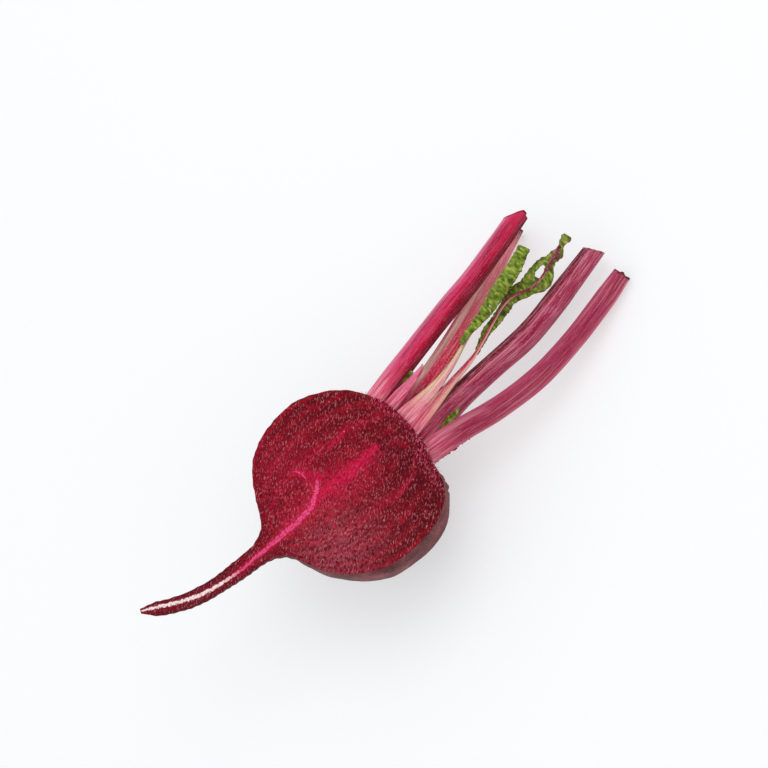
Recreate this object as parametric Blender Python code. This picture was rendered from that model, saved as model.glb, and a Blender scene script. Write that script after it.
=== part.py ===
"""Half a beetroot with its cut leaf stalks and two young leaves, lying on its round back.

The shape is drawn in the cut frame, in millimetres: U runs along the root towards the leaves,
V runs across the cut face, and W points out of the cut face, which is the plane W = 0.
An empty named lying_pose then lays the whole beetroot on the floor, Z = 0, cut face up.
Three points carry it: a small flat on the round back, and the tips of two stalks.
"""

import math

import bmesh
import bpy
import numpy as np
from mathutils import Vector, noise

MM = 0.001

# Pairs of points on the rim of the cut face, from the crown to the root tip: U and V of the left
# rim, then U and V of the right rim. Each pair carries one cross-section of the root.
RIM = (
    (29.6, 3.8, 29.7, 2.2),
    (29.2, 9.0, 29.7, -4.0),
    (27.6, 16.5, 28.9, -10.0),
    (24.8, 22.5, 27.5, -15.8),
    (21.6, 27.6, 26.4, -23.2),
    (16.0, 33.2, 20.6, -31.2),
    (7.2, 37.9, 11.0, -35.8),
    (-1.6, 39.3, -0.5, -36.6),
    (-10.6, 37.5, -9.4, -34.8),
    (-18.0, 33.8, -17.8, -29.7),
    (-23.4, 28.4, -23.4, -24.0),
    (-27.6, 20.8, -27.2, -17.6),
    (-30.6, 13.5, -29.7, -11.8),
    (-33.2, 8.5, -32.2, -7.4),
    (-37.4, 5.3, -37.0, -4.4),
    (-46.0, 4.4, -46.0, -3.3),
    (-57.0, 4.5, -57.0, -2.1),
    (-66.0, 6.2, -66.4, -0.3),
    (-74.0, 9.3, -75.2, 3.4),
    (-80.0, 12.2, -81.6, 7.7),
    (-84.2, 13.3, -84.8, 11.6),
)
ROUNDNESS = 0.95  # depth of the back over half its width
ROOT_RINGS = 76
ROOT_SEGMENTS = 24
CROWN_RINGS = 38  # the sections from the crown to halfway, where the stalks grow

CROWN = np.array((29.6, 3.0, 0.0))  # the middle of the crown, which the stalks stand round
LUMP_HEIGHT = 0.9
LUMP_NOISE = (17.0, 0.0)  # of each noise: the size of its waves, and a seed
DIMPLE_HEIGHT = 0.35
DIMPLE_NOISE = (6.5, 2.0)
SCAR_HEIGHT = 0.5  # ridges of old leaf scars round the crown
SCAR_SPACING = 3.2
SCAR_BAND = (18.0, 30.0)  # how far from the crown's middle they start and end
SCAR_FADES = (3.0, 4.0)  # the lengths over which they rise at the start and die out at the end
SCAR_DRIFT = 1.4  # how far they wander
SCAR_NOISE = (9.0, 4.0)
WRINKLE_HEIGHT = 0.16  # rings round the thin root
WRINKLE_SPACING = 2.9
WRINKLE_DRIFT = 0.9
WRINKLE_NOISE = (5.0, 6.0)
WRINKLE_AT_RIM = 0.3  # the share of their height that is left at the cut
ROOT_START = -34.0  # U where the bulb has narrowed to the thin root
ROOT_FADE = 10.0  # the length in U over which lumps take over from wrinkles
RIM_FADE = 5.0  # the relief dies out this close to the cut

DIP = math.radians(9.2)  # the crown end leans down until two stalk tips touch the floor
FLAT_DEPTH = 0.85  # how far the flat is pressed into the round back
FIT_GAP = 0.35  # clearance between pieces that grew from each other
CUTTER_TOP = 9.0  # the crown's cutter reaches this far in front of the cut face

STALK_RINGS = 20
STALK_SIDES = 22
STALK_RIBS = 6
RIB_HEIGHT = 0.055  # this share of a stalk's half width
INNER_SHARE = 0.42  # how much of a stalk's thickness lies on its grooved side
INNER_FULLNESS = 0.7  # under 1 fills out the shoulders beside the groove
GROOVE_WIDTH = 0.66  # share of the stalk's width
GROOVE_DEPTH = 0.21  # share of its thickness
GROOVE_FULLNESS = 1.5  # over 1 rounds off the groove's lips
STALK_WAVE = 0.05  # how much a stalk's thickness varies, as a share
STALK_WAVE_SIZE = 14.0
FLARE = 0.22  # how much wider a stalk is where it leaves the crown
FLARE_LENGTH = 11.0
TORN_NOISE = (1.6, 9.0)  # the teeth of a ragged end
TORN_FROM = 0.9  # a cut end slants and tears over the last part of the stalk
END_DISH = 0.35
PETIOLE_RINGS = 24
PETIOLE_SIDES = 12

BLADE = 0.7  # thickness of a young leaf
MIDRIB_STANDOFF = 1.35  # from the middle of the second leaf's blade to that of its midrib
CRINKLE_NOISE = (1.9, 3.0)  # dimples of the rolled leaf
CRINKLE_START = 6  # rows over which they rise from the leaf's base
RUFFLE_NOISE = (2.8, 5.0)  # waves of the open leaf, which grow towards its edges
RUFFLE_GROWTH = 1.5
BUD_RUFFLE = 0.5
BUD_NOISE = (1.7, 8.0)
BUD_CUP = 0.35  # how far a bud's edges bend up, as a share of its half width
OUTLINE_ROUNDING = 0.02  # corners of a size or outline are rounded over this part of its path
SHARP_ANGLE = math.radians(50)
BEND_ROUNDS = 6  # corrections that bring a stalk's tip onto the floor

# Each stalk: the middle of its path as U, V, W, its width and thickness at places from 0 to 1
# along it, the direction in V and W that its groove faces, how its cut end slants along its
# width and its thickness, how ragged that end is, and whether its tip lies on the floor.
STALKS = {
    "stalk_left": {
        "path": ((19.5, 19.0, -5.0), (27.4, 21.4, -5.0), (46.9, 26.5, -4.7), (65.9, 31.2, -4.3),
                 (79.5, 34.2, -4.0), (92.0, 37.7, -3.6), (106.6, 42.4, -3.0)),
        "size": ((0.0, 8.8, 7.8), (0.8, 9.0, 7.6), (1.0, 8.6, 7.0)),
        "groove_faces": (-0.95, -0.25),
        "slant": (-0.08, 0.22),
        "ragged": 0.25,
    },
    "stalk_left_back": {
        "path": ((24.0, 12.7, -12.4), (37.6, 17.3, -13.0), (55.2, 23.8, -14.0),
                 (69.9, 30.3, -15.0), (84.4, 37.6, -16.0), (101.5, 46.9, -17.5)),
        "size": ((0.0, 7.4, 6.4), (1.0, 7.0, 6.0)),
        "groove_faces": (-0.45, 0.90),
        "slant": (-0.20, 0.10),
        "ragged": 0.3,
        "on_floor": True,
    },
    "stalk_middle": {
        "path": ((23.0, -0.1, -11.2), (30.5, 1.7, -11.0), (40.2, 3.5, -11.0), (48.4, 4.7, -10.9),
                 (59.0, 5.6, -10.8), (70.7, 6.0, -10.5), (82.8, 6.7, -10.0), (96.2, 9.5, -9.2),
                 (118.2, 15.2, -8.0)),
        "size": ((0.0, 9.2, 6.8), (1.0, 8.8, 6.4)),
        "groove_faces": (0.90, -0.45),
        "slant": (0.34, -0.22),
        "ragged": 0.2,
    },
    "stalk_right": {
        "path": ((22.0, -6.4, -8.2), (30.1, -6.4, -8.2), (43.3, -7.0, -9.0), (52.8, -8.5, -9.5),
                 (64.5, -9.2, -10.3), (76.3, -8.8, -11.0), (86.8, -6.9, -11.7),
                 (96.9, -4.4, -12.4), (109.2, -0.5, -13.3), (120.6, 3.5, -14.0)),
        "size": ((0.0, 8.8, 6.6), (0.9, 7.6, 6.0), (1.0, 6.4, 5.2)),
        "groove_faces": (0.80, -0.60),
        "slant": (0.05, 0.0),
        "ragged": 0.9,
        "on_floor": True,
    },
    "stalk_stub": {
        "path": ((21.0, 14.2, -3.8), (28.5, 15.3, -3.4), (38.1, 16.8, -2.6), (46.2, 18.6, -1.6)),
        "size": ((0.0, 4.6, 3.2), (0.5, 4.0, 2.8), (1.0, 1.2, 0.8)),
        "groove_faces": (-0.30, 0.95),
        "slant": (0.9, 0.0),
        "ragged": 0.2,
        "rings": 11,
        "sides": 16,
    },
}

# The young leaves: a stem that starts in the crown, and a blade on its outer part. The path is
# shared. A blade's outline gives places along the path, from 0 to 1, and what it measures there.
ROLLED_LEAF = {
    "path": ((22.0, 6.2, -3.0), (29.7, 7.1, -2.8), (37.0, 8.0, -2.4), (44.3, 9.0, -1.9),
             (50.2, 10.2, -1.4), (56.6, 12.0, -0.6), (62.2, 14.0, 0.4), (67.4, 15.6, 1.1),
             (75.2, 17.2, 2.1), (83.1, 19.9, 2.9), (92.4, 23.0, 3.7), (99.7, 26.4, 4.1)),
    "size": ((0.0, 4.8, 3.0), (0.1, 4.8, 3.0), (0.2, 3.7, 2.6), (0.3, 3.3, 2.3), (0.4, 2.3, 1.8),
             (0.48, 1.6, 1.3), (0.62, 1.1, 1.0)),
    "groove_faces": (-0.20, 0.95),
    "stem_end": 0.62,
    "opens_to": (-0.86, -0.50),
    # place, radius of the roll, half its angle in degrees
    "outline": ((0.50, 1.60, 80), (0.57, 1.65, 110), (0.66, 2.1, 135), (0.75, 2.6, 148),
                (0.82, 2.75, 150), (0.90, 2.6, 148), (0.96, 2.25, 142), (1.00, 2.2, 135)),
    "crinkle": 0.34,
}
OPEN_LEAF = {
    "path": ((22.0, 0.7, -3.6), (30.6, 2.1, -3.5), (37.6, 4.0, -3.4), (44.7, 5.8, -3.4),
             (52.2, 7.4, -3.3), (57.6, 8.4, -3.1), (63.5, 10.0, -3.0), (67.7, 11.6, -2.6),
             (75.6, 14.9, -1.8), (80.8, 16.7, -1.2), (84.8, 17.0, -0.6), (88.5, 16.0, 0.0),
             (91.7, 14.6, 0.4), (97.1, 14.5, 0.9), (101.0, 15.9, 1.2), (104.1, 17.2, 1.5),
             (108.2, 18.6, 1.9), (114.3, 20.7, 2.6)),
    "size": ((0.0, 2.4, 2.6), (0.1, 2.5, 2.6), (0.24, 3.0, 2.4), (0.33, 2.5, 2.0), (0.40, 2.0, 1.5),
             (0.45, 1.2, 1.0), (0.6, 1.0, 0.85), (1.0, 0.8, 0.7)),
    "groove_faces": (-0.45, 0.89),
    "stem_end": 0.95,
    # place, reach of the left half, reach of the right half
    "outline": ((0.44, 0.7, 0.8), (0.48, 1.4, 0.8), (0.53, 2.2, 1.0), (0.58, 1.3, 2.4),
                (0.64, 1.1, 3.0), (0.68, 2.7, 2.3), (0.725, 4.1, 2.4), (0.76, 5.4, 2.0),
                (0.79, 5.5, 3.9), (0.82, 5.6, 4.2), (0.865, 5.2, 3.0), (0.90, 3.3, 2.4),
                (0.94, 1.7, 2.4), (0.97, 1.8, 1.3), (1.00, 0.8, 0.8)),
    "fold": {-1: math.radians(4), 1: math.radians(14)},  # right and left halves
    "ruffle": 0.9,
    "hole_rows": (24, 25, 26),
    "hole_columns": (7, 8),
}

# Two buds between the stalks, each a small crinkled leaf: place, half width.
SHOOTS = {
    "shoot_1": {
        "path": ((25.0, 17.0, -7.8), (31.5, 18.0, -7.0), (36.8, 19.0, -5.2), (42.0, 20.4, -2.8)),
        "outline": ((0.0, 0.7), (0.35, 0.6), (0.75, 1.3), (1.0, 0.6)),
        "faces": (-0.2, 0.95),
    },
    "shoot_2": {
        "path": ((25.0, -3.3, -9.7), (32.0, -3.1, -9.3), (38.0, -2.1, -8.1), (46.5, -1.2, -6.6)),
        "outline": ((0.0, 0.7), (0.45, 0.6), (0.8, 1.2), (1.0, 0.5)),
        "faces": (-0.50, 0.86),
    },
}

COLOURS = {
    "flesh": ((0.30, 0.006, 0.022), 0.42),
    "skin": ((0.105, 0.028, 0.034), 0.72),
    "stalk": ((0.44, 0.018, 0.075), 0.48),
    "petiole": ((0.58, 0.20, 0.20), 0.50),
    "leaf": ((0.13, 0.22, 0.024), 0.55),
}


def spline(knots, steps):
    """Points at the parameters in steps, from 0 to 1, on the natural cubic through the knots."""
    knots = np.asarray(knots, float)
    along = np.concatenate([[0.0], np.cumsum(np.linalg.norm(np.diff(knots, axis=0), axis=1))])
    along /= along[-1]
    gaps = np.diff(along)
    slopes = np.diff(knots, axis=0) / gaps[:, None]
    count = len(knots)
    matrix = np.eye(count)
    right = np.zeros_like(knots)
    for i in range(1, count - 1):
        matrix[i, i - 1 : i + 2] = gaps[i - 1], 2 * (gaps[i - 1] + gaps[i]), gaps[i]
        right[i] = 6 * (slopes[i] - slopes[i - 1])
    bend = np.linalg.solve(matrix, right)
    span = np.clip(np.searchsorted(along, steps, side="right") - 1, 0, count - 2)
    after = (steps - along[span])[:, None]
    before = (along[span + 1] - steps)[:, None]
    gap = gaps[span][:, None]
    low = knots[span] / gap - bend[span] * gap / 6
    high = knots[span + 1] / gap - bend[span + 1] * gap / 6
    curved = (bend[span] * before**3 + bend[span + 1] * after**3) / (6 * gap)
    return curved + low * before + high * after


def eased(outline, steps):
    """The measures in an outline of (place, measure, ...) at each step, its corners rounded."""
    knots = np.asarray(outline, float)
    offsets = np.linspace(-OUTLINE_ROUNDING, OUTLINE_ROUNDING, 9)
    weights = 1 - (offsets / OUTLINE_ROUNDING) ** 2
    weights /= weights.sum()
    return [
        sum(weight * np.interp(steps + offset, knots[:, 0], measure)
            for weight, offset in zip(weights, offsets))
        for measure in knots[:, 1:].T
    ]


def unit(vectors):
    return vectors / np.linalg.norm(vectors, axis=-1, keepdims=True)


def frames(line, facing):
    """Tangent, side and face directions along a line; face is the part of facing across it."""
    tangent = unit(np.gradient(line, axis=0))
    facing = np.array([0.0, *facing])
    face = unit(facing - (tangent @ facing)[:, None] * tangent)
    side = np.cross(face, tangent)
    return tangent, side, face


def soft_noise(point, size, seed):
    """Smooth noise from -1 to 1, with waves of about the given size in millimetres."""
    return noise.noise(Vector(point) / size + Vector((seed, 7.3 * seed, -3.1 * seed)))


def smooth_step(value):
    value = np.clip(value, 0.0, 1.0)
    return value * value * (3 - 2 * value)


def material(name):
    if name in bpy.data.materials:
        return bpy.data.materials[name]
    colour, roughness = COLOURS[name]
    made = bpy.data.materials.new(name)
    made.use_nodes = True
    shader = made.node_tree.nodes["Principled BSDF"]
    shader.inputs["Base Color"].default_value = (*colour, 1.0)
    shader.inputs["Roughness"].default_value = roughness
    shader.inputs["Metallic"].default_value = 0.0
    made.diffuse_color = (*colour, 1.0)
    return made


def add_object(name, builder, pose, base, materials):
    """Turns a bmesh in cut-frame millimetres into an object whose origin is its base point."""
    bmesh.ops.recalc_face_normals(builder, faces=builder.faces)
    bmesh.ops.translate(builder, verts=builder.verts, vec=-Vector(base))
    bmesh.ops.scale(builder, verts=builder.verts, vec=(MM, MM, MM))
    mesh = bpy.data.meshes.new(name)
    builder.to_mesh(mesh)
    builder.free()
    for each in materials:
        mesh.materials.append(material(each))
    mesh.shade_smooth()
    mesh.set_sharp_from_angle(angle=SHARP_ANGLE)
    made = bpy.data.objects.new(name, mesh)
    made.location = Vector(base) * MM
    made.parent = pose
    bpy.context.scene.collection.objects.link(made)
    return made


def skin_rings(rings, end_dish=0.0):
    """A closed tube through rings of equal size; the end cap's middle sinks in by the dish."""
    builder = bmesh.new()
    loops = [[builder.verts.new(point) for point in ring] for ring in rings]
    sides = len(loops[0])
    for low, high in zip(loops, loops[1:]):
        for i in range(sides):
            j = (i + 1) % sides
            builder.faces.new((low[i], low[j], high[j], high[i]))
    middles = [np.mean(ring, axis=0) for ring in rings]
    bmesh.ops.triangulate(builder, faces=builder.faces, quad_method="FIXED")
    sunk = middles[-1] + end_dish * unit(middles[-2] - middles[-1])
    for loop, point in ((loops[0], middles[0]), (loops[-1], sunk)):
        middle = builder.verts.new(point)
        for i in range(sides):
            builder.faces.new((loop[i], loop[(i + 1) % sides], middle))
    return builder


def smooth_root():
    """Grid of points round the back of the root, without relief: an arc for each section."""
    steps = np.linspace(0.0, 1.0, ROOT_RINGS)
    rims = spline(RIM, steps)
    middles = (rims[:, :2] + rims[:, 2:]) / 2
    spreads = (rims[:, :2] - rims[:, 2:]) / 2
    angles = np.linspace(0.0, math.pi, ROOT_SEGMENTS + 1)
    across = middles[:, None, :] + spreads[:, None, :] * np.cos(angles)[None, :, None]
    depth = ROUNDNESS * np.linalg.norm(spreads, axis=1)[:, None] * np.sin(angles)[None, :]
    depth[:, (0, -1)] = 0.0
    return np.concatenate([across, -depth[:, :, None]], axis=2)


def root_relief(point):
    """How far the skin stands out at a point: lumps, leaf scars by the crown, root wrinkles."""
    inside = smooth_step(-point[2] / RIM_FADE)
    on_bulb = smooth_step((point[0] - ROOT_START) / ROOT_FADE)
    lumps = LUMP_HEIGHT * soft_noise(point, *LUMP_NOISE)
    dimples = DIMPLE_HEIGHT * soft_noise(point, *DIMPLE_NOISE)
    reach = np.linalg.norm(point - CROWN) + SCAR_DRIFT * soft_noise(point, *SCAR_NOISE)
    rise = smooth_step((reach - SCAR_BAND[0]) / SCAR_FADES[0])
    fall = smooth_step((SCAR_BAND[1] - reach) / SCAR_FADES[1])
    scars = SCAR_HEIGHT * rise * fall * math.cos(2 * math.pi * reach / SCAR_SPACING)
    place = point[0] + WRINKLE_DRIFT * soft_noise(point, *WRINKLE_NOISE)
    wrinkles = WRINKLE_HEIGHT * math.cos(2 * math.pi * place / WRINKLE_SPACING)
    wrinkles *= (1 - on_bulb) * (WRINKLE_AT_RIM + (1 - WRINKLE_AT_RIM) * inside)
    return inside * ((lumps + dimples) * on_bulb + scars) + wrinkles


def root_arcs(grow=0.0):
    """The root's arcs with their relief, pushed out along the surface by grow as well."""
    grid = smooth_root()
    normals = unit(np.cross(np.gradient(grid, axis=1), np.gradient(grid, axis=0)))
    normals[:, (0, -1), 2] = 0.0
    normals = unit(normals)
    relief = np.array([[root_relief(point) for point in arc] for arc in grid])
    return grid + (relief + grow)[:, :, None] * normals


def add_root(pose):
    """The half root: skin round the back, one plane for the cut, and the small flat below."""
    builder = bmesh.new()
    loops = [[builder.verts.new(point) for point in arc] for arc in root_arcs()]
    for upper, lower in zip(loops, loops[1:]):
        for i in range(ROOT_SEGMENTS):
            builder.faces.new((upper[i], upper[i + 1], lower[i + 1], lower[i]))
    bmesh.ops.triangulate(builder, faces=builder.faces, quad_method="FIXED")
    for upper, lower in zip(loops, loops[1:]):
        cut = builder.faces.new((upper[0], lower[0], lower[-1], upper[-1]))
        cut.material_index = 1
    builder.faces.new(loops[0])
    builder.faces.new(loops[-1])
    down = Vector((math.sin(DIP), 0.0, -math.cos(DIP)))
    height = max(down.dot(vert.co) for vert in builder.verts) - FLAT_DEPTH
    cut = bmesh.ops.bisect_plane(
        builder,
        geom=[*builder.verts, *builder.edges, *builder.faces],
        plane_co=down * height,
        plane_no=down,
        clear_outer=True,
    )
    rim = [item for item in cut["geom_cut"] if isinstance(item, bmesh.types.BMEdge)]
    flat = bmesh.ops.edgeloop_fill(builder, edges=rim)["faces"][0]
    centre = flat.calc_center_median_weighted()
    pose.rotation_euler = (0.0, DIP, 0.0)
    turned = pose.rotation_euler.to_matrix() @ centre
    pose.location = -turned * MM
    add_object("beetroot_half", builder, pose, (0.0, 0.0, 0.0), ("skin", "flesh"))
    return turned.z


def add_crown_cutter(pose):
    """The root grown by the fit gap and carried up past the cut, which trims what grows on it."""
    rings = []
    for arc in root_arcs(FIT_GAP)[:CROWN_RINGS]:
        first, last = arc[0].copy(), arc[-1].copy()
        first[2] = last[2] = CUTTER_TOP
        rings.append([*arc, last, first])
    cutter = add_object("crown_cutter", skin_rings(rings), pose, (0.0, 0.0, 0.0), ())
    cutter.hide_render = True
    cutter.display_type = "WIRE"
    return cutter


def trim_by_crown(piece, cutter):
    trim = piece.modifiers.new("Crown", "BOOLEAN")
    trim.operation = "DIFFERENCE"
    trim.object = cutter


def stalk_outline(width, thickness, sides):
    """A stalk's cross-section: ribbed and round outside, with a groove down its inner face."""
    outline = []
    for i in range(sides):
        turn = 2 * math.pi * (i + 0.5) / sides
        side = math.cos(turn)
        face = math.sin(turn)
        if face > 0:
            shoulder = INNER_SHARE * face**INNER_FULLNESS
            groove = GROOVE_DEPTH * max(0.0, 1 - (side / GROOVE_WIDTH) ** 2) ** GROOVE_FULLNESS
            outline.append((width / 2 * side, thickness * (shoulder - groove)))
        else:
            rib = 1 - RIB_HEIGHT * math.cos(2 * STALK_RIBS * turn) * face
            outline.append((width / 2 * side * rib, thickness * (1 - INNER_SHARE) * face * rib))
    return outline


def stalk_rings(line, shape):
    """Cross-sections along a stalk, flared at the base and cut off at a slant."""
    tangent, side, face = frames(line, shape["groove_faces"])
    along = np.concatenate([[0.0], np.cumsum(np.linalg.norm(np.diff(line, axis=0), axis=1))])
    slant_side, slant_face = shape.get("slant", (0.0, 0.0))
    places = along / along[-1] * shape.get("stem_end", 1.0)
    widths, thicknesses = eased(shape["size"], places)
    rings = []
    for i, travelled in enumerate(along):
        step = travelled / along[-1]
        flare = FLARE * math.exp(-((max(0.0, travelled - FLARE_LENGTH) / FLARE_LENGTH) ** 2))
        sides = shape.get("sides", STALK_SIDES)
        outline = stalk_outline(widths[i] * (1 + flare), thicknesses[i], sides)
        end = smooth_step((step - TORN_FROM) / (1 - TORN_FROM))
        ring = []
        for x, y in outline:
            wave = 1 + STALK_WAVE * soft_noise((x, y, travelled), STALK_WAVE_SIZE, widths[0])
            point = line[i] + (x * side[i] + y * face[i]) * wave
            torn = shape.get("ragged", 0.0) * soft_noise(point, *TORN_NOISE)
            ring.append(point + tangent[i] * end * (slant_side * x + slant_face * y + torn))
        rings.append(ring)
    return rings


def heights(rings, flat_height):
    """Heights above the floor of points in the cut frame, once the pose lays the flat on it."""
    points = np.reshape(rings, (-1, 3))
    return points[:, 2] * math.cos(DIP) - points[:, 0] * math.sin(DIP) - flat_height


def bent_to_floor(line, shape, flat_height):
    """The stalk's line, bent up or down towards its end until it just lies on the floor."""
    line = line.copy()
    reach = (line[:, 0] - line[0, 0]) / (line[-1, 0] - line[0, 0])
    for _ in range(BEND_ROUNDS):
        lowest = heights(stalk_rings(line, shape), flat_height).min()
        line[:, 2] -= lowest * reach**2
    return line


def add_stalk(name, shape, pose, cutter, colour, flat_height):
    rings = shape.get("rings", STALK_RINGS)
    line = spline(shape["path"], np.linspace(0.0, shape.get("stem_end", 1.0), rings))
    if shape.get("on_floor"):
        line = bent_to_floor(line, shape, flat_height)
    builder = skin_rings(stalk_rings(line, shape), END_DISH)
    trim_by_crown(add_object(name, builder, pose, line[0], (colour,)), cutter)


def sheet(grid, missing=()):
    """A blade's middle surface from a grid of points, each square split into two triangles."""
    builder = bmesh.new()
    verts = [[builder.verts.new(point) for point in row] for row in grid]
    for i, (low, high) in enumerate(zip(verts, verts[1:])):
        for j in range(len(low) - 1):
            if (i, j) in missing:
                continue
            corners = (low[j], low[j + 1], high[j + 1], high[j])
            for triangle in ((0, 1, 2), (0, 2, 3)) if (i + j) % 2 else ((0, 1, 3), (1, 2, 3)):
                builder.faces.new([corners[k] for k in triangle])
    return builder


def add_blade(name, grid, pose, missing=()):
    base = grid[0][len(grid[0]) // 2]
    blade = add_object(name, sheet(grid, missing), pose, base, ("leaf",))
    thicken = blade.modifiers.new("Thickness", "SOLIDIFY")
    thicken.thickness = BLADE * MM
    thicken.offset = 0.0
    return blade


def blade_grid(rows, columns, point_at):
    """Points of a blade: rows along it, and columns from -1 at its right edge to 1 at its left."""
    across = np.linspace(-1.0, 1.0, columns + 1)
    return [[point_at(i, each) for each in across] for i in range(rows)]


def rolled_grid(shape, rows=24, columns=12):
    """A leaf rolled round its midrib, dimpled all over."""
    steps = np.linspace(shape["outline"][0][0], 1.0, rows)
    line = spline(shape["path"], steps)
    radii, turns = eased(shape["outline"], steps)
    _, side, face = frames(line, shape["opens_to"])

    def point_at(i, across):
        angle = across * math.radians(turns[i])
        out = math.sin(angle) * side[i] - math.cos(angle) * face[i]
        bump = shape["crinkle"] * soft_noise(line[i] + out * radii[i], *CRINKLE_NOISE)
        return line[i] + out * (radii[i] + bump * smooth_step(i / CRINKLE_START))

    return blade_grid(rows, columns, point_at)


def open_grid(shape, rows=36, columns=12):
    """A leaf folded back from its midrib, with ruffled edges."""
    steps = np.linspace(shape["outline"][0][0], 1.0, rows)
    line = spline(shape["path"], steps)
    left, right = eased(shape["outline"], steps)
    _, side, face = frames(line, shape["groove_faces"])
    line = line - MIDRIB_STANDOFF * face

    def point_at(i, across):
        half = -1 if across < 0 else 1
        reach = right[i] if across < 0 else left[i]
        fold = shape["fold"][half]
        out = math.cos(fold) * half * side[i] - math.sin(fold) * face[i]
        point = line[i] + abs(across) * reach * out
        wave = shape["ruffle"] * abs(across) ** RUFFLE_GROWTH * soft_noise(point, *RUFFLE_NOISE)
        return point + wave * face[i]

    return blade_grid(rows, columns, point_at)


def shoot_grid(shape, rows=11, columns=4):
    steps = np.linspace(0.0, 1.0, rows)
    line = spline(shape["path"], steps)
    (reach,) = eased(shape["outline"], steps)
    _, side, face = frames(line, shape["faces"])

    def point_at(i, across):
        point = line[i] + across * reach[i] * side[i]
        wave = BUD_RUFFLE * steps[i] * soft_noise(point, *BUD_NOISE)
        return point + (wave + BUD_CUP * across**2 * reach[i]) * face[i]

    return blade_grid(rows, columns, point_at)


def main():
    for old in list(bpy.data.objects):
        bpy.data.objects.remove(old)
    pose = bpy.data.objects.new("lying_pose", None)
    bpy.context.scene.collection.objects.link(pose)
    flat_height = add_root(pose)
    cutter = add_crown_cutter(pose)
    for name, shape in STALKS.items():
        add_stalk(name, shape, pose, cutter, "stalk", flat_height)
    for number, leaf in enumerate((ROLLED_LEAF, OPEN_LEAF), start=1):
        stem = {**leaf, "rings": PETIOLE_RINGS, "sides": PETIOLE_SIDES}
        add_stalk(f"young_petiole_{number}", stem, pose, cutter, "petiole", flat_height)
    add_blade("young_leaf_1", rolled_grid(ROLLED_LEAF), pose)
    hole = {(i, j) for i in OPEN_LEAF["hole_rows"] for j in OPEN_LEAF["hole_columns"]}
    add_blade("young_leaf_2", open_grid(OPEN_LEAF), pose, hole)
    for name, shape in SHOOTS.items():
        trim_by_crown(add_blade(name, shoot_grid(shape), pose), cutter)


main()
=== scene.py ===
"""The looks of half a beetroot with its stalks and young leaves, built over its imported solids.

The pieces are drawn in the solids' own cut frame, in millimetres: U runs along the root towards the
leaves, V across the cut face, and W out of it. They follow the same outlines and paths as the solids,
with more points and finer relief, and a few ends are shaped more closely. Each stands for its solid,
except the torn fibres, the frayed skin and the dew, which are here only.
"""

import math

import bmesh
import bpy
import numpy as np
from mathutils import Matrix, Vector, geometry, noise


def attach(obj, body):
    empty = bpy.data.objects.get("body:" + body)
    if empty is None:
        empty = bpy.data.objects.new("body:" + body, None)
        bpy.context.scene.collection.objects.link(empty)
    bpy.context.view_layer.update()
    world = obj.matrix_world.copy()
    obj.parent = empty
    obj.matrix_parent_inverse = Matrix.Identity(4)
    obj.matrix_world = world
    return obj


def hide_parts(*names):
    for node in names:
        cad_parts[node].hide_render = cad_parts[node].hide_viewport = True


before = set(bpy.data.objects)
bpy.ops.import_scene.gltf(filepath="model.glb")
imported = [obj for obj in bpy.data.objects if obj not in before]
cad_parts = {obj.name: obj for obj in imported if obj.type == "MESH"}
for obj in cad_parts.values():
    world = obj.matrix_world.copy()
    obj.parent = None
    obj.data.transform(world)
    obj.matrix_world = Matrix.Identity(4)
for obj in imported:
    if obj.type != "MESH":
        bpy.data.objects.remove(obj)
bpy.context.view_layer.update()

MM = 0.001
DIP = math.radians(9.2)  # the crown end leans down
CUT_ORIGIN = Vector((-0.2255, 0.1871, 35.2312)) * MM  # of the cut frame, in the row frame
LYING = Matrix.Translation(CUT_ORIGIN) @ Matrix.Rotation(DIP, 4, "Y")

# Pairs of points on the rim of the cut face, from the crown to the root tip: U and V of the left
# rim, then U and V of the right rim.
RIM = (
    (29.6, 3.8, 29.7, 2.2),
    (29.2, 9.0, 29.7, -4.0),
    (27.6, 16.5, 28.9, -10.0),
    (24.8, 22.5, 27.5, -15.8),
    (21.6, 27.6, 26.4, -23.2),
    (16.0, 33.2, 20.6, -31.2),
    (7.2, 37.9, 11.0, -35.8),
    (-1.6, 39.3, -0.5, -36.6),
    (-10.6, 37.5, -9.4, -34.8),
    (-18.0, 33.8, -17.8, -29.7),
    (-23.4, 28.4, -23.4, -24.0),
    (-27.6, 20.8, -27.2, -17.6),
    (-30.6, 13.5, -29.7, -11.8),
    (-33.2, 8.5, -32.2, -7.4),
    (-37.4, 5.3, -37.0, -4.4),
    (-46.0, 4.4, -46.0, -3.3),
    (-57.0, 4.5, -57.0, -2.1),
    (-66.0, 6.2, -66.4, -0.3),
    (-74.0, 9.3, -75.2, 3.4),
    (-80.0, 12.2, -81.6, 7.7),
    (-84.2, 13.3, -84.8, 11.6),
)
ROUNDNESS = 0.95  # depth of the back over half its width
ROOT_RINGS = 330
ROOT_SEGMENTS = 92
FACE_PITCH = 0.35  # between points on the cut face

CROWN = np.array((29.6, 3.0, 0.0))
# Here and below, waves are a height, a size and a seed, noise a size and a seed, and what fades a
# place where it starts and a length, which is negative where it fades the other way.
LUMPS = (0.9, 17.0, 0.0)
DIMPLES = (0.35, 6.5, 2.0)
SCAR_HEIGHT = 0.5
SCAR_SPACING = 3.2
SCARS_START = (18.0, 3.0)
SCARS_END = (30.0, -4.0)
SCAR_DRIFT = (1.4, 9.0, 4.0)
WRINKLE_HEIGHT = 0.22
WRINKLE_SPACING = 2.9
WRINKLE_DRIFT = (0.9, 5.0, 6.0)
WRINKLE_AT_RIM = 0.3
BULB_FADE = (-34.0, 10.0)
RIM_FADE = (0.0, -5.0)
NICKS = (0.28, 2.4, 11.0)  # unevenness of the cut face's rim
NICK_FADE = (0.0, -2.0)
PORES = (0.09, 1.5, 12.0)
DRAG = (0.16, 9.0, 13.0)  # waves that the knife left on the cut face
GRAIN = (0.07, 1.1, 14.0)
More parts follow.
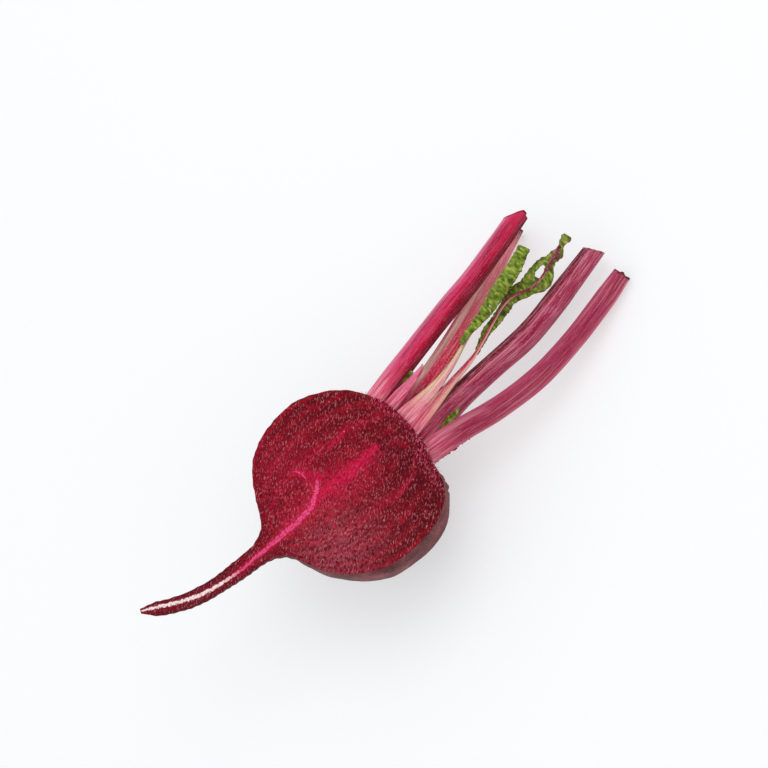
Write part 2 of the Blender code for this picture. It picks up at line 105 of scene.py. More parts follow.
GRAIN_TURN = math.radians(46.8)  # the cut's grain runs this way, from U towards V
RELIEF_FADE = (0.0, 2.5)  # the cut face is plain flat at its rim

# Colours of the root that change along U.
TAIL_COLOUR = (-28.0, -14.0)
PALE_CORE = (-47.0, -9.0)
HALO_END = (-40.0, -15.0)
CROWN_COLOUR = (4.0, 16.0)
TISSUE = (22.0, 4.0)
WARM_PATCH = (-14.0, 22.0)  # the middles of two patches on the cut face, as U and V
MILKY_PATCH = (-16.5, -18.0)
PATCH_RADIUS = 15.0

# Veins on the cut face, as U and V, with their half width there.
MAIN_VEIN = (
    (-84.0, 12.2, 0.25), (-79.6, 9.9, 0.46), (-72.1, 5.7, 0.56), (-65.8, 2.9, 0.62), (-59.3, 1.2, 0.54),
    (-53.1, 0.4, 0.42), (-47.6, -0.1, 0.42), (-41.1, 0.2, 0.52), (-36.8, 0.1, 0.62), (-31.5, 0.3, 0.70),
    (-27.1, 0.6, 0.76), (-23.0, 0.7, 0.76), (-18.8, 1.2, 0.72), (-15.2, 1.9, 0.72), (-12.6, 3.6, 0.66),
    (-10.3, 5.4, 0.56), (-8.6, 7.2, 0.42), (-7.6, 9.0, 0.10),
)
SIDE_VEIN = (
    (-12.4, 4.4, 0.06), (-10.2, 8.3, 0.06), (-10.4, 11.4, 0.10), (-10.8, 15.2, 0.30), (-12.3, 17.7, 0.10),
)
VEIN_HALO = 2.2  # how far a vein tints the flesh beside it
OFF_VEIN = 4.0  # half widths from a vein's middle, where nothing of it shows
GLOW = (
    (-17.0, 1.6, 1.2), (-10.0, 3.2, 2.0), (-5.0, 3.6, 2.4), (0.0, 3.2, 2.5), (5.8, 3.2, 2.3), (9.4, 3.5, 2.1),
    (12.3, 4.1, 1.8), (15.5, 4.2, 1.2),
)
GLOW_LINES = (
    ((13.5, 18.4, 0.5), (10.0, 17.1, 0.9), (6.5, 16.2, 0.9), (2.4, 15.7, 0.6)),
    ((20.5, -13.6, 0.3), (16.5, -14.9, 0.7), (11.4, -16.4, 0.6), (7.5, -17.6, 0.3)),
    ((-12.0, -5.0, 0.3), (-12.7, -8.0, 0.5), (-12.7, -11.0, 0.3)),
    ((-11.0, 16.0, 1.2), (-8.0, 12.0, 1.6), (-5.0, 8.0, 1.6)),
)

STALK_RINGS = 210
STALK_SIDES = 76
STALK_RIBS = 6
RIB_HEIGHT = 0.055
INNER_SHARE = 0.42
INNER_FULLNESS = 0.7
GROOVE_WIDTH = 0.66
GROOVE_DEPTH = 0.21
GROOVE_FULLNESS = 1.5
STALK_WAVE = 0.05
STALK_WAVE_SIZE = 14.0
FINE_RIB_HEIGHT = 0.17  # fine uneven ribs that run the length of a stalk
FINE_RIB_SIZE = 0.75
FINE_RIB_RUN = 24.0  # how far one runs before it changes
FLARE = 0.22
FLARE_LENGTH = 11.0
TORN_NOISE = (1.6, 9.0)
FRAYS = (0.3, 0.45, 15.0)
TORN_FROM = 0.9
END_DISH = 0.35
END_RINGS = 9
BASE_COLOUR = (6.0, 16.0)  # colours that change along a stalk, from its start
OUTER_COLOUR = (16.0, 8.0)
END_COLOUR = (0.0, 1.6)  # and from its cut end
PETIOLE_RINGS = 150
PETIOLE_SIDES = 40

BLADE = 0.45
MIDRIB_STANDOFF = 1.35
OUTLINE_ROUNDING = 0.02
BEND_ROUNDS = 6

# Each stalk: the middle of its path as U, V, W, its width and thickness at places from 0 to 1
# along it, the direction in V and W that its groove faces, how its cut end slants along its
# width and its thickness, how ragged that end is, and whether its tip lies on the floor. A gable
# is how far the middle of the cut end stands out, and how far its +V and its -V side drop back.
STALKS = {
    "stalk_left": {
        "path": ((19.5, 19.0, -5.0), (27.4, 21.4, -5.0), (46.9, 26.5, -4.7), (65.9, 31.2, -4.3),
                 (79.5, 34.2, -4.0), (92.0, 37.7, -3.6), (106.6, 42.4, -3.0)),
        "size": ((0.0, 8.8, 7.8), (0.8, 9.0, 7.6), (1.0, 8.6, 7.0)),
        "groove_faces": (-0.95, -0.25),
        "slant": (-0.08, 0.22),
        "gable": (1.3, 3.6, 0.9),
        "ragged": 0.25,
    },
    "stalk_left_back": {
        "path": ((24.0, 12.7, -12.4), (37.6, 17.3, -13.0), (55.2, 23.8, -14.0),
                 (69.9, 30.3, -15.0), (84.4, 37.6, -16.0), (101.5, 46.9, -17.5)),
        "size": ((0.0, 7.4, 6.4), (1.0, 7.0, 6.0)),
        "groove_faces": (-0.45, 0.90),
        "slant": (-0.20, 0.10),
        "ragged": 0.3,
        "on_floor": True,
    },
    "stalk_middle": {
        "path": ((23.0, -0.1, -11.2), (30.5, 1.7, -11.0), (40.2, 3.5, -11.0), (48.4, 4.7, -10.9),
                 (59.0, 5.6, -10.8), (70.7, 6.0, -10.5), (82.8, 6.7, -10.0), (96.2, 9.5, -9.2),
                 (118.2, 15.2, -8.0)),
        "size": ((0.0, 9.2, 6.8), (0.8, 8.9, 6.4), (1.0, 7.6, 6.0)),
        "groove_faces": (0.90, -0.45),
        "slant": (0.34, -0.22),
        "ragged": 0.2,
    },
    "stalk_right": {
        "path": ((22.0, -6.4, -8.2), (30.1, -6.4, -8.2), (43.3, -7.0, -9.0), (52.8, -8.5, -9.5),
                 (64.5, -9.2, -10.3), (76.3, -8.8, -11.0), (86.8, -6.9, -11.7),
                 (96.9, -4.4, -12.4), (109.2, -0.5, -13.3), (120.6, 3.5, -14.0)),
        "size": ((0.0, 8.8, 6.6), (0.9, 7.6, 6.0), (1.0, 6.4, 5.2)),
        "groove_faces": (0.80, -0.60),
        "flare": 0.0,
        "slant": (0.05, 0.0),
        "ragged": 0.9,
        "on_floor": True,
    },
    "stalk_stub": {
        "path": ((21.0, 14.2, -3.8), (28.5, 15.3, -3.4), (38.1, 16.8, -2.6), (46.2, 18.6, -1.6)),
        "size": ((0.0, 4.6, 3.2), (0.5, 4.0, 2.8), (1.0, 1.2, 0.8)),
        "groove_faces": (-0.30, 0.95),
        "slant": (0.9, 0.0),
        "ragged": 0.2,
        "rings": 70,
        "sides": 40,
    },
}

# The young leaves: a stem that starts in the crown, and a blade on its outer part. The path is
# shared. A blade's outline gives places along the path, from 0 to 1, and what it measures there.
ROLLED_LEAF = {
    "path": ((22.0, 6.2, -3.0), (29.7, 7.1, -2.8), (37.0, 8.0, -2.4), (44.3, 9.0, -1.9),
             (50.2, 10.2, -1.4), (56.6, 12.0, -0.6), (62.2, 14.0, 0.4), (67.4, 15.6, 1.1),
             (75.2, 17.2, 2.1), (83.1, 19.9, 2.9), (92.4, 23.0, 3.7), (99.7, 26.4, 4.1)),
    "size": ((0.0, 4.8, 3.0), (0.1, 4.8, 3.0), (0.2, 3.7, 2.6), (0.3, 3.3, 2.3), (0.4, 2.3, 1.8),
             (0.48, 1.6, 1.3), (0.62, 1.1, 1.0)),
    "groove_faces": (-0.20, 0.95),
    "stem_end": 0.62,
    "opens_to": (-0.86, -0.50),
    # place, radius of the roll, half its angle in degrees
    "outline": ((0.50, 1.60, 80), (0.57, 1.65, 110), (0.66, 2.1, 135), (0.75, 2.6, 148),
                (0.82, 2.75, 150), (0.90, 2.6, 148), (0.96, 2.25, 142), (1.00, 2.2, 135)),
}
OPEN_LEAF = {
    "path": ((22.0, 0.7, -3.6), (30.6, 2.1, -3.5), (37.6, 4.0, -3.4), (44.7, 5.8, -3.4),
             (52.2, 7.4, -3.3), (57.6, 8.4, -3.1), (63.5, 10.0, -3.0), (67.7, 11.6, -2.6),
             (75.6, 14.9, -1.8), (80.8, 16.7, -1.2), (84.8, 17.0, -0.6), (88.5, 16.0, 0.0),
             (91.7, 14.6, 0.4), (97.1, 14.5, 0.9), (101.0, 15.9, 1.2), (104.1, 17.2, 1.5),
             (108.2, 18.6, 1.9), (114.3, 20.7, 2.6)),
    "size": ((0.0, 2.4, 2.6), (0.1, 2.5, 2.6), (0.24, 3.0, 2.4), (0.33, 2.5, 2.0), (0.40, 2.0, 1.5),
             (0.45, 1.2, 1.0), (0.6, 1.0, 0.85), (1.0, 0.8, 0.7)),
    "groove_faces": (-0.45, 0.89),
    "stem_end": 0.95,
    # place, reach of the left half, reach of the right half
    "outline": ((0.44, 0.7, 0.8), (0.48, 1.4, 0.8), (0.53, 2.2, 1.0), (0.58, 1.3, 2.4),
                (0.64, 1.1, 3.0), (0.68, 2.7, 2.3), (0.725, 4.1, 2.4), (0.76, 5.4, 2.0),
                (0.79, 5.5, 3.9), (0.82, 5.6, 4.2), (0.855, 5.0, 2.8), (0.88, 4.0, 1.6),
                (0.90, 2.2, 1.4), (0.918, 1.5, 2.7), (0.932, 1.2, 2.8), (0.947, 0.8, 0.9),
                (0.965, 1.0, 0.8), (0.985, 1.9, 2.1), (1.00, 1.2, 1.4)),
    "fold": {-1: math.radians(4), 1: math.radians(14)},  # right and left halves
    "hole": (0.834, 0.33, 0.030, 0.24),  # its place, its middle across, and half its size in both
}
PUFF_HEIGHT = 0.36  # the blade swells between its veins
PUFF_STRETCH = (1.4, 0.8, 0.8)  # the swellings are short along the leaf
PUFF_NOISE = (2.2, 3.0)
DIMPLE_SHARE = 0.5  # how much of the swelling is plain dimples
BLADE_DIMPLES = (1.1, 41.0)
PUCKERS = (0.13, 0.9, 16.0)
RUFFLES = (0.9, 2.8, 5.0)
FRILLS = (0.45, 1.2, 17.0)  # finer waves at the blade's edge
CRUMPLES = (0.5, 1.7, 44.0)  # extra waves near the open leaf's tip
TORN_EDGE_NOISE = (1.0, 31.0)
HOLE_EDGE_NOISE = (1.1, 23.0)
BLEMISH_NOISE = (3.5, 21.0)
SPOT_NOISE = (1.6, 27.0)
MARGIN_NOISE = (4.0, 24.0)
SIDE_RIB_SPACING = 6.5
SIDE_RIB_SLANT = 0.7  # how fast a side rib runs towards the tip on its way out
RUFFLE_GROWTH = 1.5
ROLLED_ROWS, ROLLED_COLUMNS = 190, 84
OPEN_ROWS, OPEN_COLUMNS = 240, 72

SHOOTS = {
    "shoot_1": {
        "path": ((25.0, 17.0, -7.8), (31.5, 18.0, -7.0), (36.8, 19.0, -5.2), (42.0, 20.4, -2.8)),
        "outline": ((0.0, 0.7), (0.35, 0.6), (0.75, 1.3), (1.0, 0.6)),
        "faces": (-0.2, 0.95),
    },
    "shoot_2": {
        "path": ((25.0, -3.3, -9.7), (32.0, -3.1, -9.3), (38.0, -2.1, -8.1), (46.5, -1.2, -6.6)),
        "outline": ((0.0, 0.7), (0.45, 0.6), (0.8, 1.2), (1.0, 0.5)),
        "faces": (-0.50, 0.86),
    },
}
BUD_RUFFLES = (0.5, 1.7, 8.0)
BUD_CUP = 0.35
BUD_ROWS, BUD_COLUMNS = 60, 24
# A pale side vein of the open leaf, as U, V and half width.
OPEN_SIDE_VEIN = ((80.6, 16.9, 0.30), (83.8, 18.7, 0.32), (87.0, 20.4, 0.28), (90.0, 21.4, 0.12))
# Drops of dew on the rolled leaf: place along it, place across it, radius.
DEW = ((0.80, 0.20, 0.32), (0.705, 0.60, 0.30), (0.688, 0.78, 0.26), (0.737, 0.80, 0.26), (0.985, 0.45, 0.24),
       (0.76, 0.50, 0.16), (0.86, 0.60, 0.18))

SHRED_COUNT = 90  # torn fibres on the rim of the cut face, round the crown
SHRED_SPREAD = (-19.0, 25.0)
SHRED_LENGTH = (0.7, 2.6)
SHRED_RADIUS = (0.09, 0.20)
MEMBRANE_RUN = (6.0, 24.0)  # where the frayed skin hangs on the lower side of stalk_right
MEMBRANE_REACH = 1.1
MEMBRANE = 0.15  # its thickness
MEMBRANE_ROWS, MEMBRANE_COLUMNS = 120, 7
MEMBRANE_WAVES = (1.3, 33.0)
MEMBRANE_TATTERS = (0.5, 34.0)
MEMBRANE_FOLDS = (1.1, 35.0)
TUBE_RINGS = 7  # of a drop and of a torn fibre
DROP_SIDES = 12
SHRED_SIDES = 5

# Of each stalk: its colours from its -V side to its +V side, which on some stalks hold painted shade
# and painted highlight, its palest colour, how strongly its ribs show in that colour, the lightest
# colour of its cut end, and what sets it apart.
STALK_TINTS = {
    "stalk_left": {
        # Its dark -V bands are painted shade on its groove side, its pale +V edge a painted highlight.
        "bands": ((0.0, "4c0616"), (0.14, "700a1c"), (0.30, "a00a2c"), (0.50, "c4103c"),
                  (0.68, "c41c4c"), (0.85, "cc3866"), (1.0, "d8809a")),
        "pale": "d86c90", "streaks": 0.25, "cut": "b02c4c", "torn": "7c1028",
        "turns": ((0.30, 0.05, "e07c98", 0.25),),
    },
    "stalk_left_back": {
        "bands": ((0.0, "a8103c"), (0.25, "dc2052"), (0.54, "e02c5c"), (0.64, "ec8a9a"),
                  (0.72, "ffe2d0"), (0.86, "ffd0c2"), (0.93, "e05a80"), (1.0, "c82c58")),
        "pale": "fcd8c8", "streaks": 0.25, "cut": "7a3038", "twist": 0.45,
        # The last turn darkens its end: painted shade under the top of stalk_left.
        "turns": ((0.42, 0.72, "f0a4ac", 0.6), (0.92, 1.0, "5a1a28", 0.8)),
    },
    "stalk_middle": {
        # Its dark +V bands are painted shade on its grooved left flank.
        "bands": ((0.0, "b86078"), (0.06, "ac4060"), (0.2, "a42c50"), (0.5, "981c42"), (0.64, "9c1c44"),
                  (0.675, "cc7488"), (0.71, "901636"), (0.76, "740c24"), (0.9, "640a1e"), (1.0, "4c0410")),
        "pale": "d48898", "streaks": 0.48, "cut": "b87080", "torn": "6c2c30",
        "turns": ((0.22, 0.02, "e0708c", 0.35),),
    },
    "stalk_right": {
        # Its pale band at 0.0 is painted light, shining through its thin -V edge.
        "bands": ((0.0, "cc8c94"), (0.08, "b04460"), (0.25, "94203e"), (0.55, "92203f"),
                  (0.8, "9c2849"), (0.93, "b04868"), (1.0, "a04058")),
        "pale": "bc6078", "streaks": 0.35, "cut": "5c3028", "turns": ((0.25, 0.02, "c85070", 0.3),),
    },
    "stalk_stub": {
        "bands": ((0.0, "a81c44"), (0.35, "cc2c60"), (0.7, "dc5c84"), (1.0, "dc7c94")),
        "pale": "f0a4b8", "streaks": 0.4, "cut": "d8a0a0",
    },
    "young_petiole_1": {
        "bands": ((0.0, "b8506a"), (0.14, "dc94a0"), (0.40, "d87c94"), (0.55, "e0b4a0"),
                  (0.8, "e2bc9c"), (1.0, "b48c60")),
        "pale": "ecccb4", "streaks": 0.4, "cut": "7c6038", "green": 0.9,
        "turns": ((0.32, 0.06, "e06c90", 0.7),),
    },
    "young_petiole_2": {
        "bands": ((0.0, "d8a088"), (0.2, "e0ac94"), (0.40, "d07880"), (0.52, "bc2c58"),
                  (0.8, "a81642"), (1.0, "840e32")),
        "pale": "e4aea0", "streaks": 0.35, "cut": "5a1030",
        "turns": ((0.64, 0.74, "741034", 1.0), (0.24, 0.04, "dc5c84", 0.5)),
    },
}
UPPER_LEFT = np.array((0.0, 0.87, 0.5))  # the +V side of a stalk, as its bands of colour see it
STEM_FLARE = 0.75

VIEW_TILT = math.radians(30.0)  # the cut face leans this far back from the camera, about U
VIEW_ROLL = math.radians(39.0)  # and the root's axis climbs this steeply in the picture
VIEW_TARGET = Vector((31.6, 21.9, 0.0))  # the cut-frame point in the middle of the picture
VIEW_DISTANCE = 2600.0
PICTURE_WIDTH = 268.8  # what the picture spans at the target
SENSOR = 36.0


def lengths(line):
    """How far along the line each of its points is."""
    return np.concatenate([[0.0], np.cumsum(np.linalg.norm(np.diff(line, axis=0), axis=1))])


def spline(knots, steps):
    """Points at the parameters in steps, from 0 to 1, on the natural cubic through the knots."""
    knots = np.asarray(knots, float)
    along = lengths(knots)
    along /= along[-1]
    gaps = np.diff(along)
    slopes = np.diff(knots, axis=0) / gaps[:, None]
    count = len(knots)
    matrix = np.eye(count)
    right = np.zeros_like(knots)
    for i in range(1, count - 1):
        matrix[i, i - 1 : i + 2] = gaps[i - 1], 2 * (gaps[i - 1] + gaps[i]), gaps[i]
        right[i] = 6 * (slopes[i] - slopes[i - 1])
    bend = np.linalg.solve(matrix, right)
    span = np.clip(np.searchsorted(along, steps, side="right") - 1, 0, count - 2)
    after = (steps - along[span])[:, None]
    before = (along[span + 1] - steps)[:, None]
    gap = gaps[span][:, None]
    low = knots[span] / gap - bend[span] * gap / 6
    high = knots[span + 1] / gap - bend[span + 1] * gap / 6
    curved = (bend[span] * before**3 + bend[span + 1] * after**3) / (6 * gap)
    return curved + low * before + high * after


def eased(outline, steps):
    """The measures in an outline of (place, measure, ...) at each step, its corners rounded."""
    knots = np.asarray(outline, float)
    offsets = np.linspace(-OUTLINE_ROUNDING, OUTLINE_ROUNDING, 9)
    weights = 1 - (offsets / OUTLINE_ROUNDING) ** 2
    weights /= weights.sum()
    return [
        sum(weight * np.interp(steps + offset, knots[:, 0], measure)
            for weight, offset in zip(weights, offsets))
        for measure in knots[:, 1:].T
    ]


def unit(vectors):
    return vectors / np.linalg.norm(vectors, axis=-1, keepdims=True)


def frames(line, facing):
    """Tangent, side and face directions along a line; face is the part of facing across it."""
    tangent = unit(np.gradient(line, axis=0))
    facing = np.array([0.0, *facing])
    face = unit(facing - (tangent @ facing)[:, None] * tangent)
    side = np.cross(face, tangent)
    return tangent, side, face


def soft_noise(points, size, seed):
    """Smooth noise from -1 to 1 at each point, with waves of about the given size."""
    points = np.asarray(points, float)
    shifted = points.reshape(-1, 3) / size + np.array((seed, 7.3 * seed, -3.1 * seed))
    values = [noise.noise(Vector(point)) for point in shifted]
    return np.reshape(values, points.shape[:-1])


def waves(points, height, size, seed):
    return height * soft_noise(points, size, seed)


def fade(value, start, length):
    """0 on one side of start, 1 a length further on, and smooth in between."""
    share = np.clip((value - start) / length, 0.0, 1.0)
    return share * share * (3 - 2 * share)


def bell(value):
    return np.exp(-(value**2))


def paint(code):
    """A colour that is written as the screen shows it, as the shader's linear numbers."""
    screen = [int(code[i : i + 2], 16) / 255 for i in (0, 2, 4)]
    return (*(c / 12.92 if c <= 0.04045 else ((c + 0.055) / 1.055) ** 2.4 for c in screen), 1.0)


class Look:
    """A material and short ways to add its nodes. Sizes are in millimetres of the cut frame."""

    def __init__(self, name, roughness, shine=0.25, sheen=0.0):
        self.material = bpy.data.materials.new(name)
        self.material.use_nodes = True
        self.tree = self.material.node_tree
        self.shader = self.tree.nodes["Principled BSDF"]
        self.fix({"Roughness": roughness, "Specular IOR Level": shine, "Sheen Weight": sheen})
        self.colour = None

    def fix(self, values):
        """Sets what is the same all over the surface on the shader itself."""
        for key, value in values.items():
            self.shader.inputs[key].default_value = value

    def set(self, key, value):
        self.tree.links.new(value, self.shader.inputs[key])

    def add(self, kind, inputs, **settings):
        node = self.tree.nodes.new(kind)
        for key, value in settings.items():
            setattr(node, key, value)
        for key, value in inputs.items():
            if isinstance(value, bpy.types.NodeSocket):
                self.tree.links.new(value, node.inputs[key])
            else:
                node.inputs[key].default_value = value
        return node

    def value(self, name, kind="Fac"):
        return self.add("ShaderNodeAttribute", {}, attribute_name=name).outputs[kind]

    def stretched(self, vector, size, turn=(0.0, 0.0, 0.0), origin=(0.0, 0.0, 0.0)):
        inputs = {"Vector": vector, "Location": origin, "Rotation": turn, "Scale": size}
        return self.add("ShaderNodeMapping", inputs, vector_type="TEXTURE").outputs[0]

    def place(self):
        """The point's place in the cut frame."""
        own = self.add("ShaderNodeTexCoord", {}).outputs["Object"]
        return self.stretched(own, (MM, MM, MM), (0.0, DIP, 0.0), CUT_ORIGIN)

    def noise(self, vector, size, detail=3.0, rough=0.55, twist=0.0):
        inputs = {"Vector": vector, "Scale": 1 / size, "Detail": detail}
        inputs |= {"Roughness": rough, "Distortion": twist}
        return self.add("ShaderNodeTexNoise", inputs).outputs[0]

    def math(self, operation, a, b=0.0):
        return self.add("ShaderNodeMath", {0: a, 1: b}, operation=operation).outputs[0]

    def plus(self, a, b):
        return self.math("ADD", a, b)

    def times(self, *values):
        total = values[0]
        for value in values[1:]:
            total = self.math("MULTIPLY", total, value)
        return total

    def swing(self, value, share):
        """A value from 0 to 1 as one that swings round 0 by half the share."""
        return self.times(self.math("SUBTRACT", value, 0.5), share)

    def between(self, value, low, high):
        """0 below low, 1 above high, and smooth in between. Low may be the greater."""
        inputs = {"Value": value, "From Min": low, "From Max": high}
        return self.add("ShaderNodeMapRange", inputs, interpolation_type="SMOOTHSTEP").outputs[0]

    def patches(self, vector, size, low, high, *noise_settings):
        return self.between(self.noise(vector, size, *noise_settings), low, high)

    def mix(self, share, a, b):
        a, b = (paint(c) if isinstance(c, str) else c for c in (a, b))
        return self.add("ShaderNodeMix", {0: share, 6: a, 7: b}, data_type="RGBA").outputs[2]

    def tint(self, colour, *shares):
        """Lays another colour over the look's own, by the product of the shares."""
        self.colour = self.mix(self.times(*shares), self.colour, colour)

    def ramp(self, value, stops):
        node = self.add("ShaderNodeValToRGB", {0: value})
        marks = node.color_ramp.elements
        for _ in stops[2:]:
            marks.new(0.5)
        for mark, (at, code) in zip(marks, stops):
            mark.position = at
            mark.color = paint(code)
        return node.outputs[0]

    def bump(self, height, depth, strength):
        inputs = {"Height": height, "Distance": depth * MM, "Strength": strength}
        self.set("Normal", self.add("ShaderNodeBump", inputs).outputs[0])


def flesh_look():
    """Cut flesh: crimson and maroon rings, pale grain with painted glints, and a pink vein with a glow round
    it.
    """
    look = Look("cut_flesh", roughness=0.45, shine=0.03)
    place = look.place()
    ring = look.plus(look.value("ring"), look.swing(look.noise(place, 7.0, 2.0), 0.10))
    look.colour = look.ramp(ring, (
        (0.00, "b4143a"), (0.12, "a50f2a"), (0.24, "8c0c20"), (0.33, "6e0918"), (0.43, "9c0e27"),
        (0.50, "7a0b1c"), (0.58, "660915"), (0.68, "920e22"), (0.74, "660815"), (0.79, "580713"),
        (0.84, "8c0c20"), (0.88, "600813"), (0.93, "580711"), (0.965, "9c0c22"), (0.985, "780f1b"),
        (1.00, "64121b"),
    ))
    look.tint("6c0818", look.patches(place, 3.4, 0.44, 0.62, 4.0, 0.6), 0.5)
    look.tint("b80f30", look.patches(place, 2.4, 0.55, 0.68), 0.5)
    look.tint("4e0610", look.value("crown_end"), look.patches(place, 5.0, 0.25, 0.6), 0.85)
    look.tint("b04e60", look.value("milky"), look.patches(place, 1.3, 0.38, 0.58, 3.0, 0.6), 0.7)
    look.tint("b8183a", look.value("warm"), 0.35)
    look.tint("64121e", look.value("tail_end"), 0.5)
    look.tint("58181e", look.value("pale_core"), 0.55)
    look.tint("cc1444", look.value("glow"), 0.9)
    grain = look.stretched(place, (1.5, 0.60, 0.8), (0.0, 0.0, GRAIN_TURN))
    fleck = look.noise(grain, 0.80, 2.0, 0.55, 0.5)
    look.tint("4a0510", look.patches(grain, 0.9, 0.50, 0.38, 2.0, 0.5, 0.4), 0.6)
    torn = look.mix(look.between(fleck, 0.4, 0.6), "8c0a24", "cc4668")
    look.tint(torn, look.value("tissue"), look.patches(grain, 1.6, 0.45, 0.6), 0.7)
    many = look.plus(0.16, look.times(look.patches(place, 4.5, 0.34, 0.62), 0.58))
    calm = look.math("SUBTRACT", 1.0, look.times(look.value("glow"), 0.6))
    # Pale flecks along the grain: partly pale tissue, partly painted highlights off the wet cut.
    look.tint("b86a70", look.between(fleck, 0.53, 0.66), many, calm)
    # Painted glints: the palest specks, painted highlights off the wet grain.
    look.tint("dcb0a8", look.patches(grain, 1.1, 0.67, 0.76, 2.0, 0.5, 0.3), 0.6)
    streak = look.patches(place, 0.9, 0.36, 0.64, 3.0, 0.6)
    look.tint("cc1648", look.value("halo"), look.plus(0.30, look.times(streak, 0.4)))
    core = look.between(look.plus(look.value("vein"), look.swing(streak, 0.9)), 1.5, 0.8)
    pink, white = look.mix(streak, "e65a8a", "d02c5e"), look.mix(streak, "fff4f0", "f0c4c8")
    look.tint(look.mix(look.value("pale_core"), pink, white), core, 0.9)
    look.set("Base Color", look.colour)
    look.set("Roughness", look.plus(0.40, look.times(look.noise(place, 1.5), 0.3)))
    look.bump(look.plus(look.times(fleck, 1.2), look.times(look.noise(place, 0.35, 2.0), 0.5)), 0.20, 0.9)
    return look.material


def skin_look():
    """Dusty maroon skin, with small pits, faint rings round the root and scars by the crown."""
    look = Look("root_skin", roughness=0.66, shine=0.15, sheen=0.06)
    place = look.place()
    broad = look.noise(place, 12.0, 4.0, 0.6)
    fine = look.noise(place, 1.6, 4.0, 0.65)
    lines = look.noise(look.stretched(place, (0.8, 6.0, 6.0)), 1.4, 3.0, 0.6, 0.8)
    look.colour = look.ramp(broad, ((0.30, "3e1416"), (0.45, "591f23"), (0.56, "713135"), (0.70, "8c4c4e")))
    look.tint("5c2228", look.between(fine, 0.48, 0.66), 0.6)
    look.tint("966462", look.patches(place, 0.55, 0.55, 0.68), 0.45)
    look.tint("441d22", look.between(lines, 0.56, 0.70), 0.45)
    look.tint("3c2420", look.between(look.value("scar"), 0.1, 0.8), 0.6)
    banded = look.mix(look.between(lines, 0.4, 0.65), "5d262a", "3a1a1a")
    look.tint(banded, look.value("tail_end"), 0.75)
    cells = look.add("ShaderNodeTexVoronoi", {"Vector": place, "Scale": 1 / 2.6}).outputs["Distance"]
    pits = look.between(cells, 0.16, 0.05)
    look.tint("34171a", pits, 0.7)
    look.set("Base Color", look.colour)
    look.set("Roughness", look.plus(0.56, look.times(fine, 0.25)))
    height = look.plus(look.times(fine, 0.5), look.times(lines, 0.7))
    look.bump(look.math("SUBTRACT", height, look.times(pits, 0.6)), 0.30, 0.8)
    return look.material


def stalk_look(name, bands, pale, streaks, cut, torn="3c1818", twist=0.0, green=0.0, turns=()):
    """Satin stalk with bands of colour from its -V side to its +V side, and pale ribs along it.

    Cut and torn are the colours of its end, twist how far the bands move over along it, and green
    how green its edges are. Each of the turns gives the place where a colour starts to come in,
    the place where it is full, the colour, and its share.
    """
    look = Look(name, roughness=0.45, shine=0.12)
    place, run, travel = look.place(), look.value("grain", "Vector"), look.value("travel")
    fibre = look.noise(run, 0.55, 3.0, 0.6)
    wander = look.noise(run, 1.8)
    across = look.plus(look.value("across"), look.swing(wander, 0.6))
    turned = look.swing(travel, twist)
    # Bands across the stalk: on some stalks painted shade on the shaded side and painted highlight on the lit
    # side.
    look.colour = look.ramp(look.plus(look.plus(0.5, look.times(across, 0.5)), turned), bands)
    rib = look.plus(look.value("rib"), look.swing(fibre, 2.4))
    look.tint(bands[0][1], look.between(rib, -0.2, -0.9), 0.5)
    look.tint(pale, look.between(rib, 0.25, 1.0), streaks, 0.6)
    for start, full, tint, share in turns:
        patchy = look.plus(share, look.swing(wander, 0.8))
        look.tint(tint, look.between(travel, start, full), patchy)
    edges = look.between(look.math("ABSOLUTE", look.value("across")), 0.3, 0.7)
    some = look.patches(run, 1.2, 0.42, 0.55, 2.0)
    look.tint("82a034", look.value("far"), edges, some, green)
    look.tint(pale, look.patches(run, 0.34, 0.54, 0.62, 2.0), streaks, 1.3)
    look.tint("6c2a34", look.patches(place, 0.7, 0.56, 0.66, 3.0, 0.6), 0.22)
    look.tint(pale, look.patches(place, 0.5, 0.58, 0.68, 2.0, 0.6), 0.45)
    pink = look.mix(look.between(fibre, 0.4, 0.7), "cc2258", "f4b0bc")
    look.tint(pink, look.value("root_end"), look.between(fibre, 0.2, 0.5), 0.8)
    end = look.between(look.plus(look.value("cut_end"), look.swing(fibre, 0.6)), 0.35, 0.75)
    look.tint(look.mix(look.patches(place, 0.9, 0.35, 0.65), cut, torn), end)
    look.set("Base Color", look.colour)
    look.set("Roughness", look.plus(0.36, look.times(fibre, 0.25)))
    look.bump(look.plus(look.times(fibre, 0.8), look.times(look.noise(place, 0.3, 2.0), 0.3)), 0.14, 0.8)
    return look.material


def shred_look():
    """Torn fibres, from crimson through pink to almost white."""
    look = Look("torn_fibres", roughness=0.5, shine=0.15)
    tone = look.noise(look.place(), 1.8, 2.0)
    shades = ((0.3, "8c0e2c"), (0.5, "c03058"), (0.58, "e08ca0"), (0.72, "f4dcd8"))
    look.set("Base Color", look.ramp(tone, shades))
    return look.material


